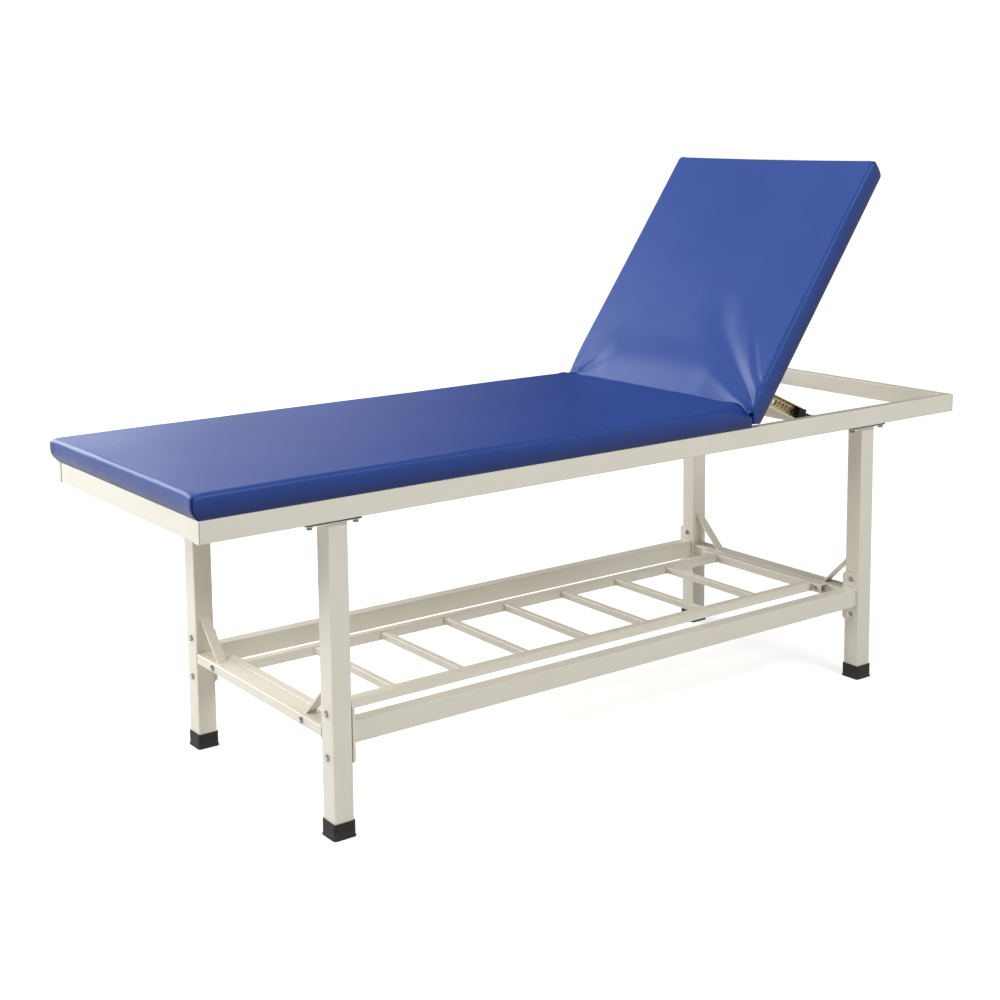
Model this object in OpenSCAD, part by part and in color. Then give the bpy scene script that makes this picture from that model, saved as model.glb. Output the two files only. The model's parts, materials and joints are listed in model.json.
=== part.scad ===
// Hospital examination table: a knock-down steel frame with a bolted storage rack,
// and a two-part upholstered top whose back section tilts on ratchet struts.
// Millimetres. X runs from the foot end to the head end, Y across, Z up.
// The origin is on the floor under the middle of the table, pads included.

/* [Overall] */
// Length of the steel top frame
frame_l = 1900; // [1780:10:2100]
// Width of the steel top frame
frame_w = 600; // [520:10:760]
// Height of the top of the steel frame above the floor
frame_h = 620; // [560:5:720]
// Angle of the back section above flat, as shown
tilt = 54.3; // [46:0.1:62]

/* [Top frame] */
// Height of the side and end rail tube
rail_h = 40; // [34:1:50]
// Width of the side and end rail tube
rail_w = 20; // [18:1:28]
// Wall of every frame tube
tube_wall = 1.5; // [1.2:0.1:2]
// Outer corner radius of every frame tube
tube_r = 2.5; // [2:0.1:3.5]
// Thickness of the plates that close the ends of the side rails
end_cap_t = 1.5; // [1:0.5:3]
// Side of the square tubes that cross the top frame
cross_s = 20; // [16:1:24]
// Foot end of the frame to the middle of the seat's cross tube
seat_cross_x = 640; // [400:10:900]

/* [Legs] */
// Side of the square leg tube
leg_s = 40; // [34:1:46]
// End of the frame to the outer face of a leg
leg_end_inset = 250; // [150:5:300]
// Side of the frame to the outer face of a leg
leg_side_inset = 15; // [10:1:24]
// Length of the plate on top of a leg
leg_plate_l = 110; // [106:1:140]
// Thickness of the plate on top of a leg
leg_plate_t = 4; // [3:0.5:6]
// How far the plates sit off the middle of their legs, towards the foot end
leg_plate_shift = 13; // [0:1:14]
// Side of the frame to the edge of the plate on top of a leg
leg_plate_inset = 3; // [1:0.5:5]
// Middle of a top plate to each of its bolts
top_bolt_x = 46; // [42:1:47]

/* [Foot caps] */
// Height of a rubber foot cap
cap_h = 30; // [22:1:40]
// Wall of a rubber foot cap
cap_wall = 2.4; // [2:0.2:4]
// Thickness of the sole of a foot cap
cap_floor = 5; // [3:0.5:8]
// How far the skirt at the bottom of a cap stands out
cap_skirt = 1.2; // [0.6:0.2:2]
// Height of that skirt
cap_skirt_h = 3; // [2:0.5:6]

/* [Cross beams and braces] */
// Height of the flat cross beams
beam_h = 20; // [16:1:26]
// Floor to the underside of the cross beams and the rack
beam_z = 180; // [150:5:240]
// Length of a brace along the leg and along the beam
brace_leg = 75; // [55:1:82]
// Width of the brace strip
brace_w = 20; // [14:1:28]
// Thickness of the brace strip
brace_t = 4; // [3:0.5:6]

/* [Lower side rails] */
// Height of the lower side rails
low_h = 40; // [30:1:50]
// Width of the lower side rails
low_w = 30; // [24:1:32]
// Middle of the lower side rails above the underside of the beams
low_rise = 8; // [4:1:14]
// Height of the end plates
end_plate_h = 110; // [104:1:120]
// Width of the end plates
end_plate_w = 46; // [40:1:50]
// Thickness of the end plates
end_plate_t = 4; // [3:0.5:6]
// Corner radius of the end plates
end_plate_r = 10; // [6:1:14]
// Middle of the lower side rail to each bolt
low_bolt_z = 40; // [38:0.5:42]

/* [Rack] */
// Side of the square rack tube
rack_s = 20; // [16:1:22]
// Length of the rack's end tubes
rack_end_l = 384; // [360:2:440]
// Width over the rack's two long tubes
rack_w = 324; // [280:2:328]
// Side of the square bars between the long tubes
bar_s = 15; // [12:1:16]
// Number of bars between the long tubes
bar_count = 7; // [7:1:7]
// Distance between the two bolts in each end tube
rack_bolt_span = 350; // [348:1:358]

/* [Fasteners] */
// Diameter of the frame bolts
bolt_d = 6; // [5:0.5:8]
// Width of the bolt heads and nuts across flats
bolt_af = 10; // [9:0.5:13]
// Height of a bolt head
bolt_head_h = 4; // [3:0.5:6]
// Height of a nut
nut_h = 5; // [4:0.5:7]
// Diameter of a washer
washer_d = 12.5; // [11:0.5:16]
// Thickness of a washer
washer_t = 1.6; // [1:0.2:2.4]
// Radial room of a bolt in its hole
bolt_room = 0.25; // [0.2:0.05:0.5]

/* [Upholstered top] */
// Length of the back section, from the hinge axis to the head end
back_l = 623; // [560:1:680]
// Thickness of a pad with its board
pad_t = 45; // [38:1:60]
// Thickness of the boards
board_t = 12; // [9:1:15]
// How far the cover wraps beyond the edge of a board
wrap_t = 4; // [3:0.5:6]
// How far the pads stand out beyond the ends of the frame
pad_over_end = 12; // [6:1:18]
// How far the pads stand out beyond the sides of the frame
pad_over_side = 3; // [1:0.5:6]
// Radius of the top edges of a pad
pad_edge_r = 9; // [6:1:14]
// Corner radius of a pad seen from above
pad_corner_r = 6; // [5:0.5:12]
// Rise of the middle of a pad over its edges
pad_crown = 3; // [1:0.5:6]
// How far a pad's sides are drawn in between its corners
pad_draw = 2.5; // [1:0.5:4]
// Hinge axis to the hinge end of the seat pad
seat_gap = 21; // [19:0.5:26]
// Hinge axis to the square lower end of the back pad
back_gap = 6; // [5.5:0.5:9]

/* [Hinges] */
// Side of the frame to the outer end of a hinge
hinge_inset = 30; // [24:1:120]
// Width of a hinge
hinge_w = 60; // [50:1:80]
// Length of the leaf on the back board, from the axis
leaf_l = 32; // [26:1:36]
// Thickness of a hinge leaf
leaf_t = 2; // [1.5:0.25:2.5]
// Outer radius of the hinge knuckles
knuckle_r = 4; // [3.5:0.25:4.5]
// Radius of the hinge pins
hinge_pin_r = 2.2; // [1.8:0.1:2.4]

/* [Back frame] */
// Width of the tubes behind the back board
back_tube_w = 20; // [16:1:26]
// Thickness of the tubes behind the back board
back_tube_t = 15; // [12:1:16]
// Side of the pad to the outer side of a back tube
back_tube_inset = 100; // [92:1:150]
// Hinge axis to the lower ends of the back tubes
back_tube_start = 42; // [40:1:80]
// Back tubes end this far short of the head end
back_tube_short = 44; // [40:1:90]

/* [Ratchet struts] */
// Hinge axis to the strut's upper pin, measured along the back board
lug_along = 76.4; // [72:0.2:84]
// Strut's upper pin below the underside of the back board
lug_drop = 20; // [18:0.5:22]
// Hinge axis to the strut's lower pin, along the frame
foot_along = 227.3; // [222:0.1:235]
// Strut's lower pin below the top of the frame
foot_drop = 29.3; // [27:0.1:33]
// Height of the strut channel
channel_h = 27.5; // [26.5:0.5:30]
// Depth of the strut channel
channel_d = 13; // [12:0.5:16]
// Sheet thickness of the strut channel
channel_t = 2; // [1.5:0.25:2.5]
// Bare bar between the strut channel and the lower pin, as shown
bar_show = 67.5; // [65:0.5:72]
// Height of the sliding bar
slide_h = 21; // [18:0.5:21.5]
// Thickness of the sliding bar
slide_t = 5; // [4:0.5:6]
// Radius of the strut's end pins
pin_r = 4; // [3:0.25:4.5]
// Radius of the pin that runs in the toothed slot
follower_r = 2.2; // [1.8:0.1:2.6]
// Length of one tooth of the slot
tooth_pitch = 11.5; // [9:0.5:13]
// Depth of the teeth
tooth_depth = 4.2; // [3:0.1:5]
// Length of the black guide block
block_l = 20; // [16:1:22]
// How far the guide block stands out of the strut channel
block_proud = 4; // [2:0.5:6]
// Thickness of the brackets at both ends of a strut
lug_t = 3.5; // [2.5:0.5:4]

/* [Hidden] */
$fn = 48;

// Colours of the finishes
cream = [0.86, 0.85, 0.79];
black_rubber = [0.10, 0.09, 0.08];
zinc = [0.72, 0.73, 0.74];
gold_zinc = [0.66, 0.58, 0.34];
blue_cover = [0.20, 0.25, 0.60];
plywood = [0.74, 0.60, 0.42];

// Running clearance, rest gap of the soft parts, and the overrun of every cut
run_gap = 0.05;
slide_gap = 0.5;
soft_gap = 0.4;
over = 1;

// Whole frame
half_l = frame_l / 2;
half_w = frame_w / 2;
rail_z = frame_h - rail_h;
low_z = beam_z + low_rise;
low_y = leg_side_inset + (leg_s - low_w) / 2;
leg_mid_x = leg_end_inset + leg_s / 2;
leg_mid_y = leg_side_inset + leg_s / 2;
leg_in_x = leg_end_inset + leg_s;
leg_in_y = leg_side_inset + leg_s;
leg_top = rail_z - leg_plate_t;
hole_r = bolt_d / 2 + bolt_room;
thread_r = bolt_d / 2 + run_gap;
top_bolt_grip = 10;

// Rack
rack_y = (frame_w - rack_w) / 2;
rack_in_x = leg_in_x + rack_s;
rack_in_l = frame_l - 2 * rack_in_x;
rack_bolt_y = (frame_w - rack_bolt_span) / 2;

// Hinge axis under the joint of the two boards
board_z = frame_h + soft_gap;
hinge_x = half_l - back_l;
hinge_z = board_z - knuckle_r;
hinge_y = half_w - hinge_inset - hinge_w / 2;
leaf_start = knuckle_r + 2 * soft_gap;
fixed_leaf_l = leaf_start + cross_s;

// Strut: distances and angles at rest and with the back section flat
lug_n = knuckle_r - lug_drop;
lug_rest = [lug_along * cos(tilt) - lug_n * sin(tilt), lug_along * sin(tilt) + lug_n * cos(tilt)];
lug_flat = [lug_along, lug_n];
foot_pin = [foot_along, frame_h - foot_drop - hinge_z];
strut_rest_l = norm(lug_rest - foot_pin);
strut_flat_l = norm(lug_flat - foot_pin);
strut_rest_a = atan2(lug_rest[1] - foot_pin[1], foot_pin[0] - lug_rest[0]);
strut_flat_a = atan2(lug_flat[1] - foot_pin[1], foot_pin[0] - lug_flat[0]);
function lug_true(share) =
  let (a = tilt * (1 - share))
  [lug_along * cos(a) - lug_n * sin(a), lug_along * sin(a) + lug_n * cos(a)];
function lug_coupled(share) =
  let (l = strut_rest_l + (strut_flat_l - strut_rest_l) * share,
       a = strut_rest_a + (strut_flat_a - strut_rest_a) * share)
  foot_pin + [-l * cos(a), l * sin(a)];
function lug_miss(share) =
  let (a = tilt * (1 - share), d = lug_coupled(share) - lug_true(share))
  [d[0] * cos(a) + d[1] * sin(a), d[1] * cos(a) - d[0] * sin(a)];
lug_slip = max([for (share = [0 : 0.05 : 1]) -lug_miss(share)[0]]);
lug_wander = max([for (share = [0 : 0.05 : 1]) abs(lug_miss(share)[1])]);
lug_lane_r = pin_r + lug_wander + soft_gap;
pin_head_r = lug_lane_r + soft_gap;

// Strut: places along the channel, from the upper pin towards the lower pin
channel_l = strut_rest_l - bar_show;
channel_top = pin_head_r + channel_t;
follower_rest = channel_l + block_proud - block_l - follower_r - tooth_pitch / 2;
follower_flat = follower_rest + strut_flat_l - strut_rest_l;
lane_r = follower_r + slide_gap;
tooth_count = floor((follower_rest - follower_flat + 3 * tooth_pitch) / tooth_pitch);
slot_end = follower_rest + tooth_pitch / 2;
slot_start = slot_end - tooth_count * tooth_pitch;
eye_r = slide_h / 2;
bar_top = strut_rest_l - strut_flat_l + pin_r + 2 * slide_gap + eye_r;

// Strut: places across the frame, from the side of the frame inwards
channel_out = rail_w + cross_s / 2 + 2 * channel_t;
web_out = channel_out + channel_d - channel_t;
slide_out = web_out + channel_t + slide_gap;
lug_out = slide_out + slide_t + slide_gap;
strut_tube_x = hinge_x + foot_along + eye_r + 2 * lug_t;

// Pad outlines, in heights above the hinge axis
seat_l = frame_l - back_l;
pad_low = knuckle_r;
pad_top = pad_low + pad_t;
pocket_z = pad_low + board_t + soft_gap;
pocket_r = pad_corner_r / 3;
long_steps = 10;
short_steps = 6;
arc_steps = 3;
hinge_edge_share = 0.35;
hinge_corner_share = 0.5;
rise_shares = [0, 0.18, 0.5, 0.8];
swell_shares = [0, 0.5, 0.92, 1];
edge_angles = [0, 30, 60, 90];
crown_shares = [0.25, 0.55, 0.85, 1];
crown_run_share = 0.7;

// Moves the frame so that the origin lies under the middle of the whole table
module place() {
  translate([pad_over_end / 2, 0, 0]) children();
}

// Puts a foot-near corner piece at any corner of the frame
module corner(head, far) {
  mirror([head ? 1 : 0, 0, 0])
    mirror([0, far ? 1 : 0, 0])
      translate([-half_l, -half_w, 0])
        children();
}

// Middle of a leg's top plate from its end of the frame
function plate_mid(head) = leg_mid_x + (head ? 1 : -1) * leg_plate_shift;

// Puts a near-side piece at either side
module side(far) {
  mirror([0, far ? 1 : 0, 0])
    translate([0, -half_w, 0])
      children();
}

// Rectangle with rounded corners, from its lower left corner
module round_rect(w, h, r) {
  translate([r, 0]) square([w - 2 * r, h]);
  translate([0, r]) square([w, h - 2 * r]);
  for (x = [r, w - r], y = [r, h - r]) translate([x, y]) circle(r = r);
}

// Section of a rectangular tube
module tube_section(w, h) {
  inner_r = tube_r - tube_wall;
  difference() {
    round_rect(w, h, tube_r);
    translate([tube_wall, tube_wall])
      round_rect(w - 2 * tube_wall, h - 2 * tube_wall, inner_r);
  }
}

// Tubes along X, Y and Z, from their lowest corner
module tube_x(l, w, h) {
  rotate([90, 0, 90]) linear_extrude(height = l) tube_section(w, h);
}

module tube_y(l, w, h) {
  translate([0, l, 0]) rotate([90, 0, 0]) linear_extrude(height = l) tube_section(w, h);
}

module tube_z(l, w, h) {
  linear_extrude(height = l) tube_section(w, h);
}

// Hexagon across flats, as a bolt head or nut along +Z
module hex(af, h) {
  cylinder(d = af / cos(30), h = h, $fn = 6);
}

// Bolt along +Z: its washer's face is at zero and its head is below
module bolt(l) {
  translate([0, 0, -washer_t]) cylinder(d = washer_d, h = washer_t);
  translate([0, 0, -washer_t - bolt_head_h]) hex(bolt_af, bolt_head_h);
  translate([0, 0, -washer_t]) cylinder(d = bolt_d, h = l + washer_t);
}

module nut() {
  difference() {
    hex(bolt_af, nut_h);
    translate([0, 0, -over]) cylinder(r = thread_r, h = nut_h + 2 * over);
  }
}

// Top frame
module side_rail(far) {
  color(cream)
    side(far)
      difference() {
        translate([-half_l + end_cap_t, 0, rail_z]) tube_x(frame_l - 2 * end_cap_t, rail_w, rail_h);
        for (head = [false, true], k = [-1, 1])
          translate([(head ? 1 : -1) * (half_l - plate_mid(head)) + k * top_bolt_x, rail_w / 2, rail_z - over])
            cylinder(r = hole_r, h = tube_wall + 2 * over);
      }
}

module end_rail(head) {
  color(cream)
    corner(head, false)
      translate([0, rail_w, rail_z]) tube_y(frame_w - 2 * rail_w, rail_w, rail_h);
}

module rail_end_caps() {
  color(cream)
    for (head = [false, true], far = [false, true])
      corner(head, far)
        translate([0, 0, rail_z])
          rotate([90, 0, 90]) linear_extrude(height = end_cap_t) round_rect(rail_w, rail_h, tube_r);
}

module cross_tube(x, z) {
  color(cream)
    translate([x, -half_w + rail_w, z]) tube_y(frame_w - 2 * rail_w, cross_s, cross_s);
}

module seat_cross_tube() {
  cross_tube(-half_l + seat_cross_x - cross_s / 2, frame_h - cross_s);
}

// The fixed hinge leaves lie on this tube
module hinge_cross_tube() {
  cross_tube(hinge_x - fixed_leaf_l, board_z - leaf_t - cross_s);
}

module strut_cross_tube() {
  cross_tube(strut_tube_x, rail_z);
}

// Legs, each with its welded top plate
module leg(head, far) {
  plate_w = leg_in_y - leg_plate_inset;
  plate_x = plate_mid(head);
  color(cream)
    corner(head, far)
      difference() {
        union() {
          translate([leg_end_inset, leg_side_inset, cap_floor])
            tube_z(leg_top - cap_floor, leg_s, leg_s);
          translate([plate_x - leg_plate_l / 2, leg_plate_inset, leg_top])
            linear_extrude(height = leg_plate_t) round_rect(leg_plate_l, plate_w, tube_r);
        }
        for (k = [-1, 1])
          translate([plate_x + k * top_bolt_x, rail_w / 2, leg_top - over])
            cylinder(r = hole_r, h = leg_plate_t + 2 * over);
        for (k = [-1, 1])
          translate([leg_end_inset - over, leg_mid_y, low_z + k * low_bolt_z])
            rotate([0, 90, 0]) cylinder(r = hole_r, h = leg_s + 2 * over);
      }
}

module foot_cap(head, far) {
  inner = leg_s + 2 * run_gap;
  outer = leg_s + 2 * cap_wall;
  skirt = outer + 2 * cap_skirt;
  outer_r = tube_r + cap_wall;
  color(black_rubber)
    corner(head, far)
      translate([leg_mid_x, leg_mid_y, 0])
        difference() {
          union() {
            translate([-outer / 2, -outer / 2, 0])
              linear_extrude(height = cap_h) round_rect(outer, outer, outer_r);
            translate([-skirt / 2, -skirt / 2, 0])
              linear_extrude(height = cap_skirt_h) round_rect(skirt, skirt, outer_r + cap_skirt);
          }
          translate([-inner / 2, -inner / 2, cap_floor])
            linear_extrude(height = cap_h) round_rect(inner, inner, tube_r);
        }
}

// Flat beams across each pair of legs, with their corner braces
module cross_beam(head) {
  color(cream)
    corner(head, false)
      difference() {
        translate([leg_end_inset, leg_in_y, beam_z]) tube_y(frame_w - 2 * leg_in_y, leg_s, beam_h);
        for (y = [rack_bolt_y, frame_w - rack_bolt_y])
          translate([leg_end_inset - over, y, beam_z + rack_s / 2])
            rotate([0, 90, 0]) cylinder(r = hole_r, h = leg_s + 2 * over);
      }
}

module brace(head, far) {
  slant = brace_t / cos(45);
  color(cream)
    corner(head, far)
      translate([leg_mid_x - brace_w / 2, leg_in_y, beam_z + beam_h])
        rotate([90, 0, 90])
          linear_extrude(height = brace_w)
            polygon([[0, brace_leg], [0, brace_leg - slant], [brace_leg - slant, 0], [brace_leg, 0]]);
}

// Lower side rails with their welded end plates
module lower_rail(far) {
  in_l = frame_l - 2 * (leg_in_x + end_plate_t);
  color(cream)
    side(far) {
      translate([-in_l / 2, low_y, low_z - low_h / 2]) tube_x(in_l, low_w, low_h);
      for (head = [0, 1])
        mirror([head, 0, 0])
          translate([-half_l + leg_in_x, leg_mid_y - end_plate_w / 2, low_z - end_plate_h / 2])
            rotate([90, 0, 90])
              linear_extrude(height = end_plate_t)
                difference() {
                  round_rect(end_plate_w, end_plate_h, end_plate_r);
                  for (k = [-1, 1])
                    translate([end_plate_w / 2, end_plate_h / 2 + k * low_bolt_z]) circle(r = hole_r);
                }
    }
}

// Storage rack
module rack_tube(far) {
  color(cream)
    side(far)
      translate([-rack_in_l / 2, rack_y, beam_z]) tube_x(rack_in_l, rack_s, rack_s);
}

module rack_end(head) {
  color(cream)
    corner(head, false)
      difference() {
        translate([leg_in_x, (frame_w - rack_end_l) / 2, beam_z]) tube_y(rack_end_l, rack_s, rack_s);
        for (y = [rack_bolt_y, frame_w - rack_bolt_y])
          translate([leg_in_x - over, y, beam_z + rack_s / 2])
            rotate([0, 90, 0]) cylinder(r = hole_r, h = rack_s + 2 * over);
      }
}

module rack_bar(i) {
  pitch = rack_in_l / (bar_count + 1);
  color(cream)
    translate([-rack_in_l / 2 + i * pitch - bar_s / 2, -rack_w / 2 + rack_s, beam_z + (rack_s - bar_s) / 2])
      tube_y(rack_w - 2 * rack_s, bar_s, bar_s);
}

// Fasteners
module top_bolts() {
  color(zinc)
    for (head = [false, true], far = [false, true], k = [-1, 1])
      corner(head, far)
        translate([plate_mid(head) + k * top_bolt_x, rail_w / 2, leg_top])
          bolt(leg_plate_t + top_bolt_grip);
}

module lower_bolts() {
  color(zinc)
    for (head = [false, true], far = [false, true], k = [-1, 1])
      corner(head, far)
        translate([leg_end_inset, leg_mid_y, low_z + k * low_bolt_z])
          rotate([0, 90, 0]) bolt(leg_s + end_plate_t + nut_h + bolt_d / 2);
}

module lower_nuts() {
  color(zinc)
    for (head = [false, true], far = [false, true], k = [-1, 1])
      corner(head, far)
        translate([leg_in_x + end_plate_t, leg_mid_y, low_z + k * low_bolt_z])
          rotate([0, 90, 0]) nut();
}

module rack_bolts() {
  color(zinc)
    for (head = [false, true], far = [false, true])
      corner(head, far)
        translate([leg_end_inset, rack_bolt_y, beam_z + rack_s / 2])
          rotate([0, 90, 0]) bolt(leg_s + rack_s + nut_h + bolt_d / 2);
}

module rack_nuts() {
  color(zinc)
    for (head = [false, true], far = [false, true])
      corner(head, far)
        translate([leg_in_x + rack_s, rack_bolt_y, beam_z + rack_s / 2])
          rotate([0, 90, 0]) nut();
}

// Pads: closed rings of points from the board's pocket out round the edge and over the top
function pull(u) = 4 * u * (1 - u);

// Where a pad ends beside the hinge: the back pad leans clear of the seat pad as shown
function hinge_end(z, back) =
  back ? max(back_gap, (z * sin(tilt) - seat_gap + soft_gap) / cos(tilt)) : seat_gap;

function pad_ring(l, z, x0, end_in, side_in, corner_r, draw) =
  let (x1 = l - end_in,
       y1 = half_w - side_in,
       hr = corner_r * hinge_corner_share,
       ar = 90 / (arc_steps + 1))
  concat(
    [for (i = [0 : long_steps]) let (u = i / long_steps)
      [x0 + hr + (x1 - corner_r - x0 - hr) * u, -y1 + draw * pull(u), z]],
    [for (i = [1 : arc_steps]) let (a = -90 + i * ar)
      [x1 - corner_r + corner_r * cos(a), -y1 + corner_r + corner_r * sin(a), z]],
    [for (i = [0 : short_steps]) let (u = i / short_steps)
      [x1 - draw * pull(u), (-y1 + corner_r) * (1 - 2 * u), z]],
    [for (i = [1 : arc_steps]) let (a = i * ar)
      [x1 - corner_r + corner_r * cos(a), y1 - corner_r + corner_r * sin(a), z]],
    [for (i = [0 : long_steps]) let (u = i / long_steps)
      [x1 - corner_r + (x0 + hr - x1 + corner_r) * u, y1 - draw * pull(u), z]],
    [for (i = [1 : arc_steps]) let (a = 90 + i * ar)
      [x0 + hr + hr * cos(a), y1 - hr + hr * sin(a), z]],
    [for (i = [0 : short_steps]) let (u = i / short_steps)
      [x0, (y1 - hr) * (1 - 2 * u), z]],
    [for (i = [1 : arc_steps]) let (a = 180 + i * ar)
      [x0 + hr + hr * cos(a), -y1 + hr + hr * sin(a), z]]
  );

module pad_solid(l, back) {
  shoulder = pad_top - pad_edge_r;
  crown_run = half_w * crown_run_share;
  hinge_edge = hinge_edge_share * pad_edge_r;
  rings = concat(
    [for (z = [pocket_z, pad_low])
      pad_ring(l, z, hinge_end(pad_low, back) + wrap_t, wrap_t, wrap_t, pocket_r, 0)],
    [for (i = [0 : len(rise_shares) - 1])
      let (z = pad_low + (shoulder - pad_low) * rise_shares[i], swell = swell_shares[i])
      pad_ring(l, z, hinge_end(z, back), -pad_over_end * swell, -pad_over_side * swell,
        pad_corner_r, pad_draw * rise_shares[i])],
    [for (a = edge_angles)
      let (z = shoulder + pad_edge_r * sin(a), turn = 1 - cos(a), in = pad_edge_r * turn)
      pad_ring(l, z, hinge_end(z, back) + hinge_edge * turn, in - pad_over_end, in - pad_over_side,
        pad_corner_r, pad_draw)],
    [for (c = crown_shares)
      let (z = pad_top + pad_crown * sin(90 * c), in = pad_edge_r + crown_run * c)
      pad_ring(l, z, hinge_end(z, back) + hinge_edge + crown_run * c, in - pad_over_end,
        in - pad_over_side, pad_corner_r, pad_draw * (1 - c))]
  );
  n = len(rings[0]);
  m = len(rings);
  points = concat([for (ring = rings) each ring],
    [[l / 2, 0, pocket_z], [l / 2, 0, pad_top + pad_crown]]);
  low = n * m;
  high = n * m + 1;
  faces = concat(
    [for (i = [0 : n - 1]) [low, i, (i + 1) % n]],
    [for (k = [0 : m - 2], i = [0 : n - 1]) [k * n + i, (k + 1) * n + i, (k + 1) * n + (i + 1) % n]],
    [for (k = [0 : m - 2], i = [0 : n - 1]) [k * n + i, (k + 1) * n + (i + 1) % n, k * n + (i + 1) % n]],
    [for (i = [0 : n - 1]) [(m - 1) * n + i, high, (m - 1) * n + (i + 1) % n]]
  );
  polyhedron(points = points, faces = faces, convexity = 4);
}

module board_solid(l, start) {
  inset = wrap_t + soft_gap;
  translate([start + inset, -half_w + inset, pad_low])
    linear_extrude(height = board_t)
      round_rect(l - start - 2 * inset, frame_w - 2 * inset, pocket_r);
}

// Places a piece drawn flat from the hinge axis: on the seat side, or on the tilted back
module on_seat() {
  translate([hinge_x, 0, hinge_z]) mirror([1, 0, 0]) children();
}

module on_back() {
  translate([hinge_x, 0, hinge_z]) rotate([0, -tilt, 0]) children();
}

module seat_board() {
  color(plywood) on_seat() board_solid(seat_l, seat_gap);
}

module seat_pad() {
  color(blue_cover) on_seat() pad_solid(seat_l, false);
}

module back_board() {
  color(plywood) on_back() board_solid(back_l, back_gap);
}

module back_pad() {
  color(blue_cover) on_back() pad_solid(back_l, true);
}

// Tubes that stiffen the back board from behind
module back_tube(far) {
  color(cream)
    on_back()
      side(far)
        translate([back_tube_start, back_tube_inset, pad_low - back_tube_t])
          tube_x(back_l - back_tube_short - back_tube_start, back_tube_w, back_tube_t);
}

module back_tube_top() {
  inner_y = half_w - back_tube_inset - back_tube_w;
  color(cream)
    on_back()
      translate([back_l - back_tube_short - 2 * back_tube_w, -inner_y, pad_low - back_tube_t])
        tube_y(2 * inner_y, back_tube_w, back_tube_t);
}

// Butt hinges: five knuckles on one pin, three on the fixed leaf and two on the back leaf
module hinge_leaf(own, l) {
  knuckle_l = hinge_w / 5;
  leaf_top = pad_low;
  for (h = [-1, 1])
    translate([0, h * hinge_y - hinge_w / 2, 0])
      difference() {
        union() {
          translate([leaf_start, 0, leaf_top - leaf_t])
            cube([l - leaf_start, hinge_w, leaf_t]);
          for (k = own) {
            translate([0, k * knuckle_l + run_gap, leaf_top - leaf_t])
              cube([l / 2, knuckle_l - 2 * run_gap, leaf_t]);
            translate([0, k * knuckle_l + run_gap, 0])
              rotate([-90, 0, 0]) cylinder(r = knuckle_r, h = knuckle_l - 2 * run_gap);
          }
        }
        translate([0, -over, 0])
          rotate([-90, 0, 0]) cylinder(r = hinge_pin_r + run_gap, h = hinge_w + 2 * over);
      }
}

module hinge_seat_leaves() {
  color(black_rubber) on_seat() hinge_leaf([0, 2, 4], fixed_leaf_l);
}

module hinge_back_leaves() {
  color(black_rubber) on_back() hinge_leaf([1, 3], leaf_l);
}

module hinge_pins() {
  head_t = leaf_t / 2;
  color(zinc)
    for (h = [-1, 1])
      translate([hinge_x, h * hinge_y, hinge_z])
        rotate([90, 0, 0]) {
          cylinder(r = hinge_pin_r, h = hinge_w + 2 * run_gap, center = true);
          for (m = [0, 1])
            mirror([0, 0, m])
              translate([0, 0, hinge_w / 2 + run_gap])
                cylinder(r = (hinge_pin_r + knuckle_r) / 2, h = head_t);
        }
}

// Lower strut bracket on its cross tube, with its riveted pin
module strut_foot(far) {
  pin_out = slide_out - run_gap;
  color(gold_zinc)
    side(far) {
      translate([hinge_x, lug_out + lug_t, hinge_z])
        rotate([90, 0, 0])
          linear_extrude(height = lug_t) {
            translate(foot_pin) circle(r = eye_r);
            translate([foot_pin[0], frame_h - rail_h - hinge_z])
              square([eye_r + 2 * lug_t, eye_r + foot_pin[1] - frame_h + rail_h + hinge_z]);
          }
      translate([strut_tube_x - lug_t, lug_out, rail_z])
        cube([lug_t, cross_s, cross_s]);
      translate([hinge_x + foot_pin[0], 0, hinge_z + foot_pin[1]])
        rotate([-90, 0, 0]) {
          translate([0, 0, pin_out]) cylinder(r = pin_r, h = lug_out - pin_out);
          translate([0, 0, pin_out - channel_t]) cylinder(r = pin_head_r, h = channel_t);
        }
    }
}

// Places a piece drawn along the strut: X from the upper pin to the lower pin, Y inwards, Z up
module on_strut(far) {
  side(far)
    translate([hinge_x + lug_rest[0], 0, hinge_z + lug_rest[1]])
      rotate([0, strut_rest_a, 0])
        children();
}

// Sliding bar behind the channel's web, with its eye and the pin that runs in the toothed slot
module strut_bar(far) {
  pin_l = slide_gap + channel_t + channel_t / 2;
  color(gold_zinc)
    on_strut(far)
      translate([0, slide_out, 0])
        rotate([-90, 0, 0]) {
          linear_extrude(height = slide_t)
            difference() {
              union() {
                translate([bar_top, -eye_r]) square([strut_rest_l - bar_top, slide_h]);
                translate([bar_top, 0]) circle(r = eye_r);
                translate([strut_rest_l, 0]) circle(r = eye_r);
              }
              translate([strut_rest_l, 0]) circle(r = pin_r + run_gap);
            }
          translate([follower_rest, 0, -pin_l]) cylinder(r = follower_r, h = pin_l);
        }
}

// Slot with teeth on both sides of a straight lane
module toothed_slot() {
  top = [for (i = [0 : tooth_count - 1], s = [0, 1])
    [slot_start + (i + 0.75 * s) * tooth_pitch, s == 0 ? lane_r : lane_r + tooth_depth]];
  bottom = [for (i = [tooth_count - 1 : -1 : 0], s = [1, 0])
    [slot_start + (i + 0.25 + 0.5 * s) * tooth_pitch, s == 1 ? -lane_r : -lane_r - tooth_depth]];
  polygon(concat(top, [[slot_end, lane_r], [slot_end, -lane_r]], bottom, [[slot_start, -lane_r]]));
  translate([slot_end, 0]) circle(r = lane_r);
  translate([slot_start, 0]) circle(r = lane_r);
}

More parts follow.
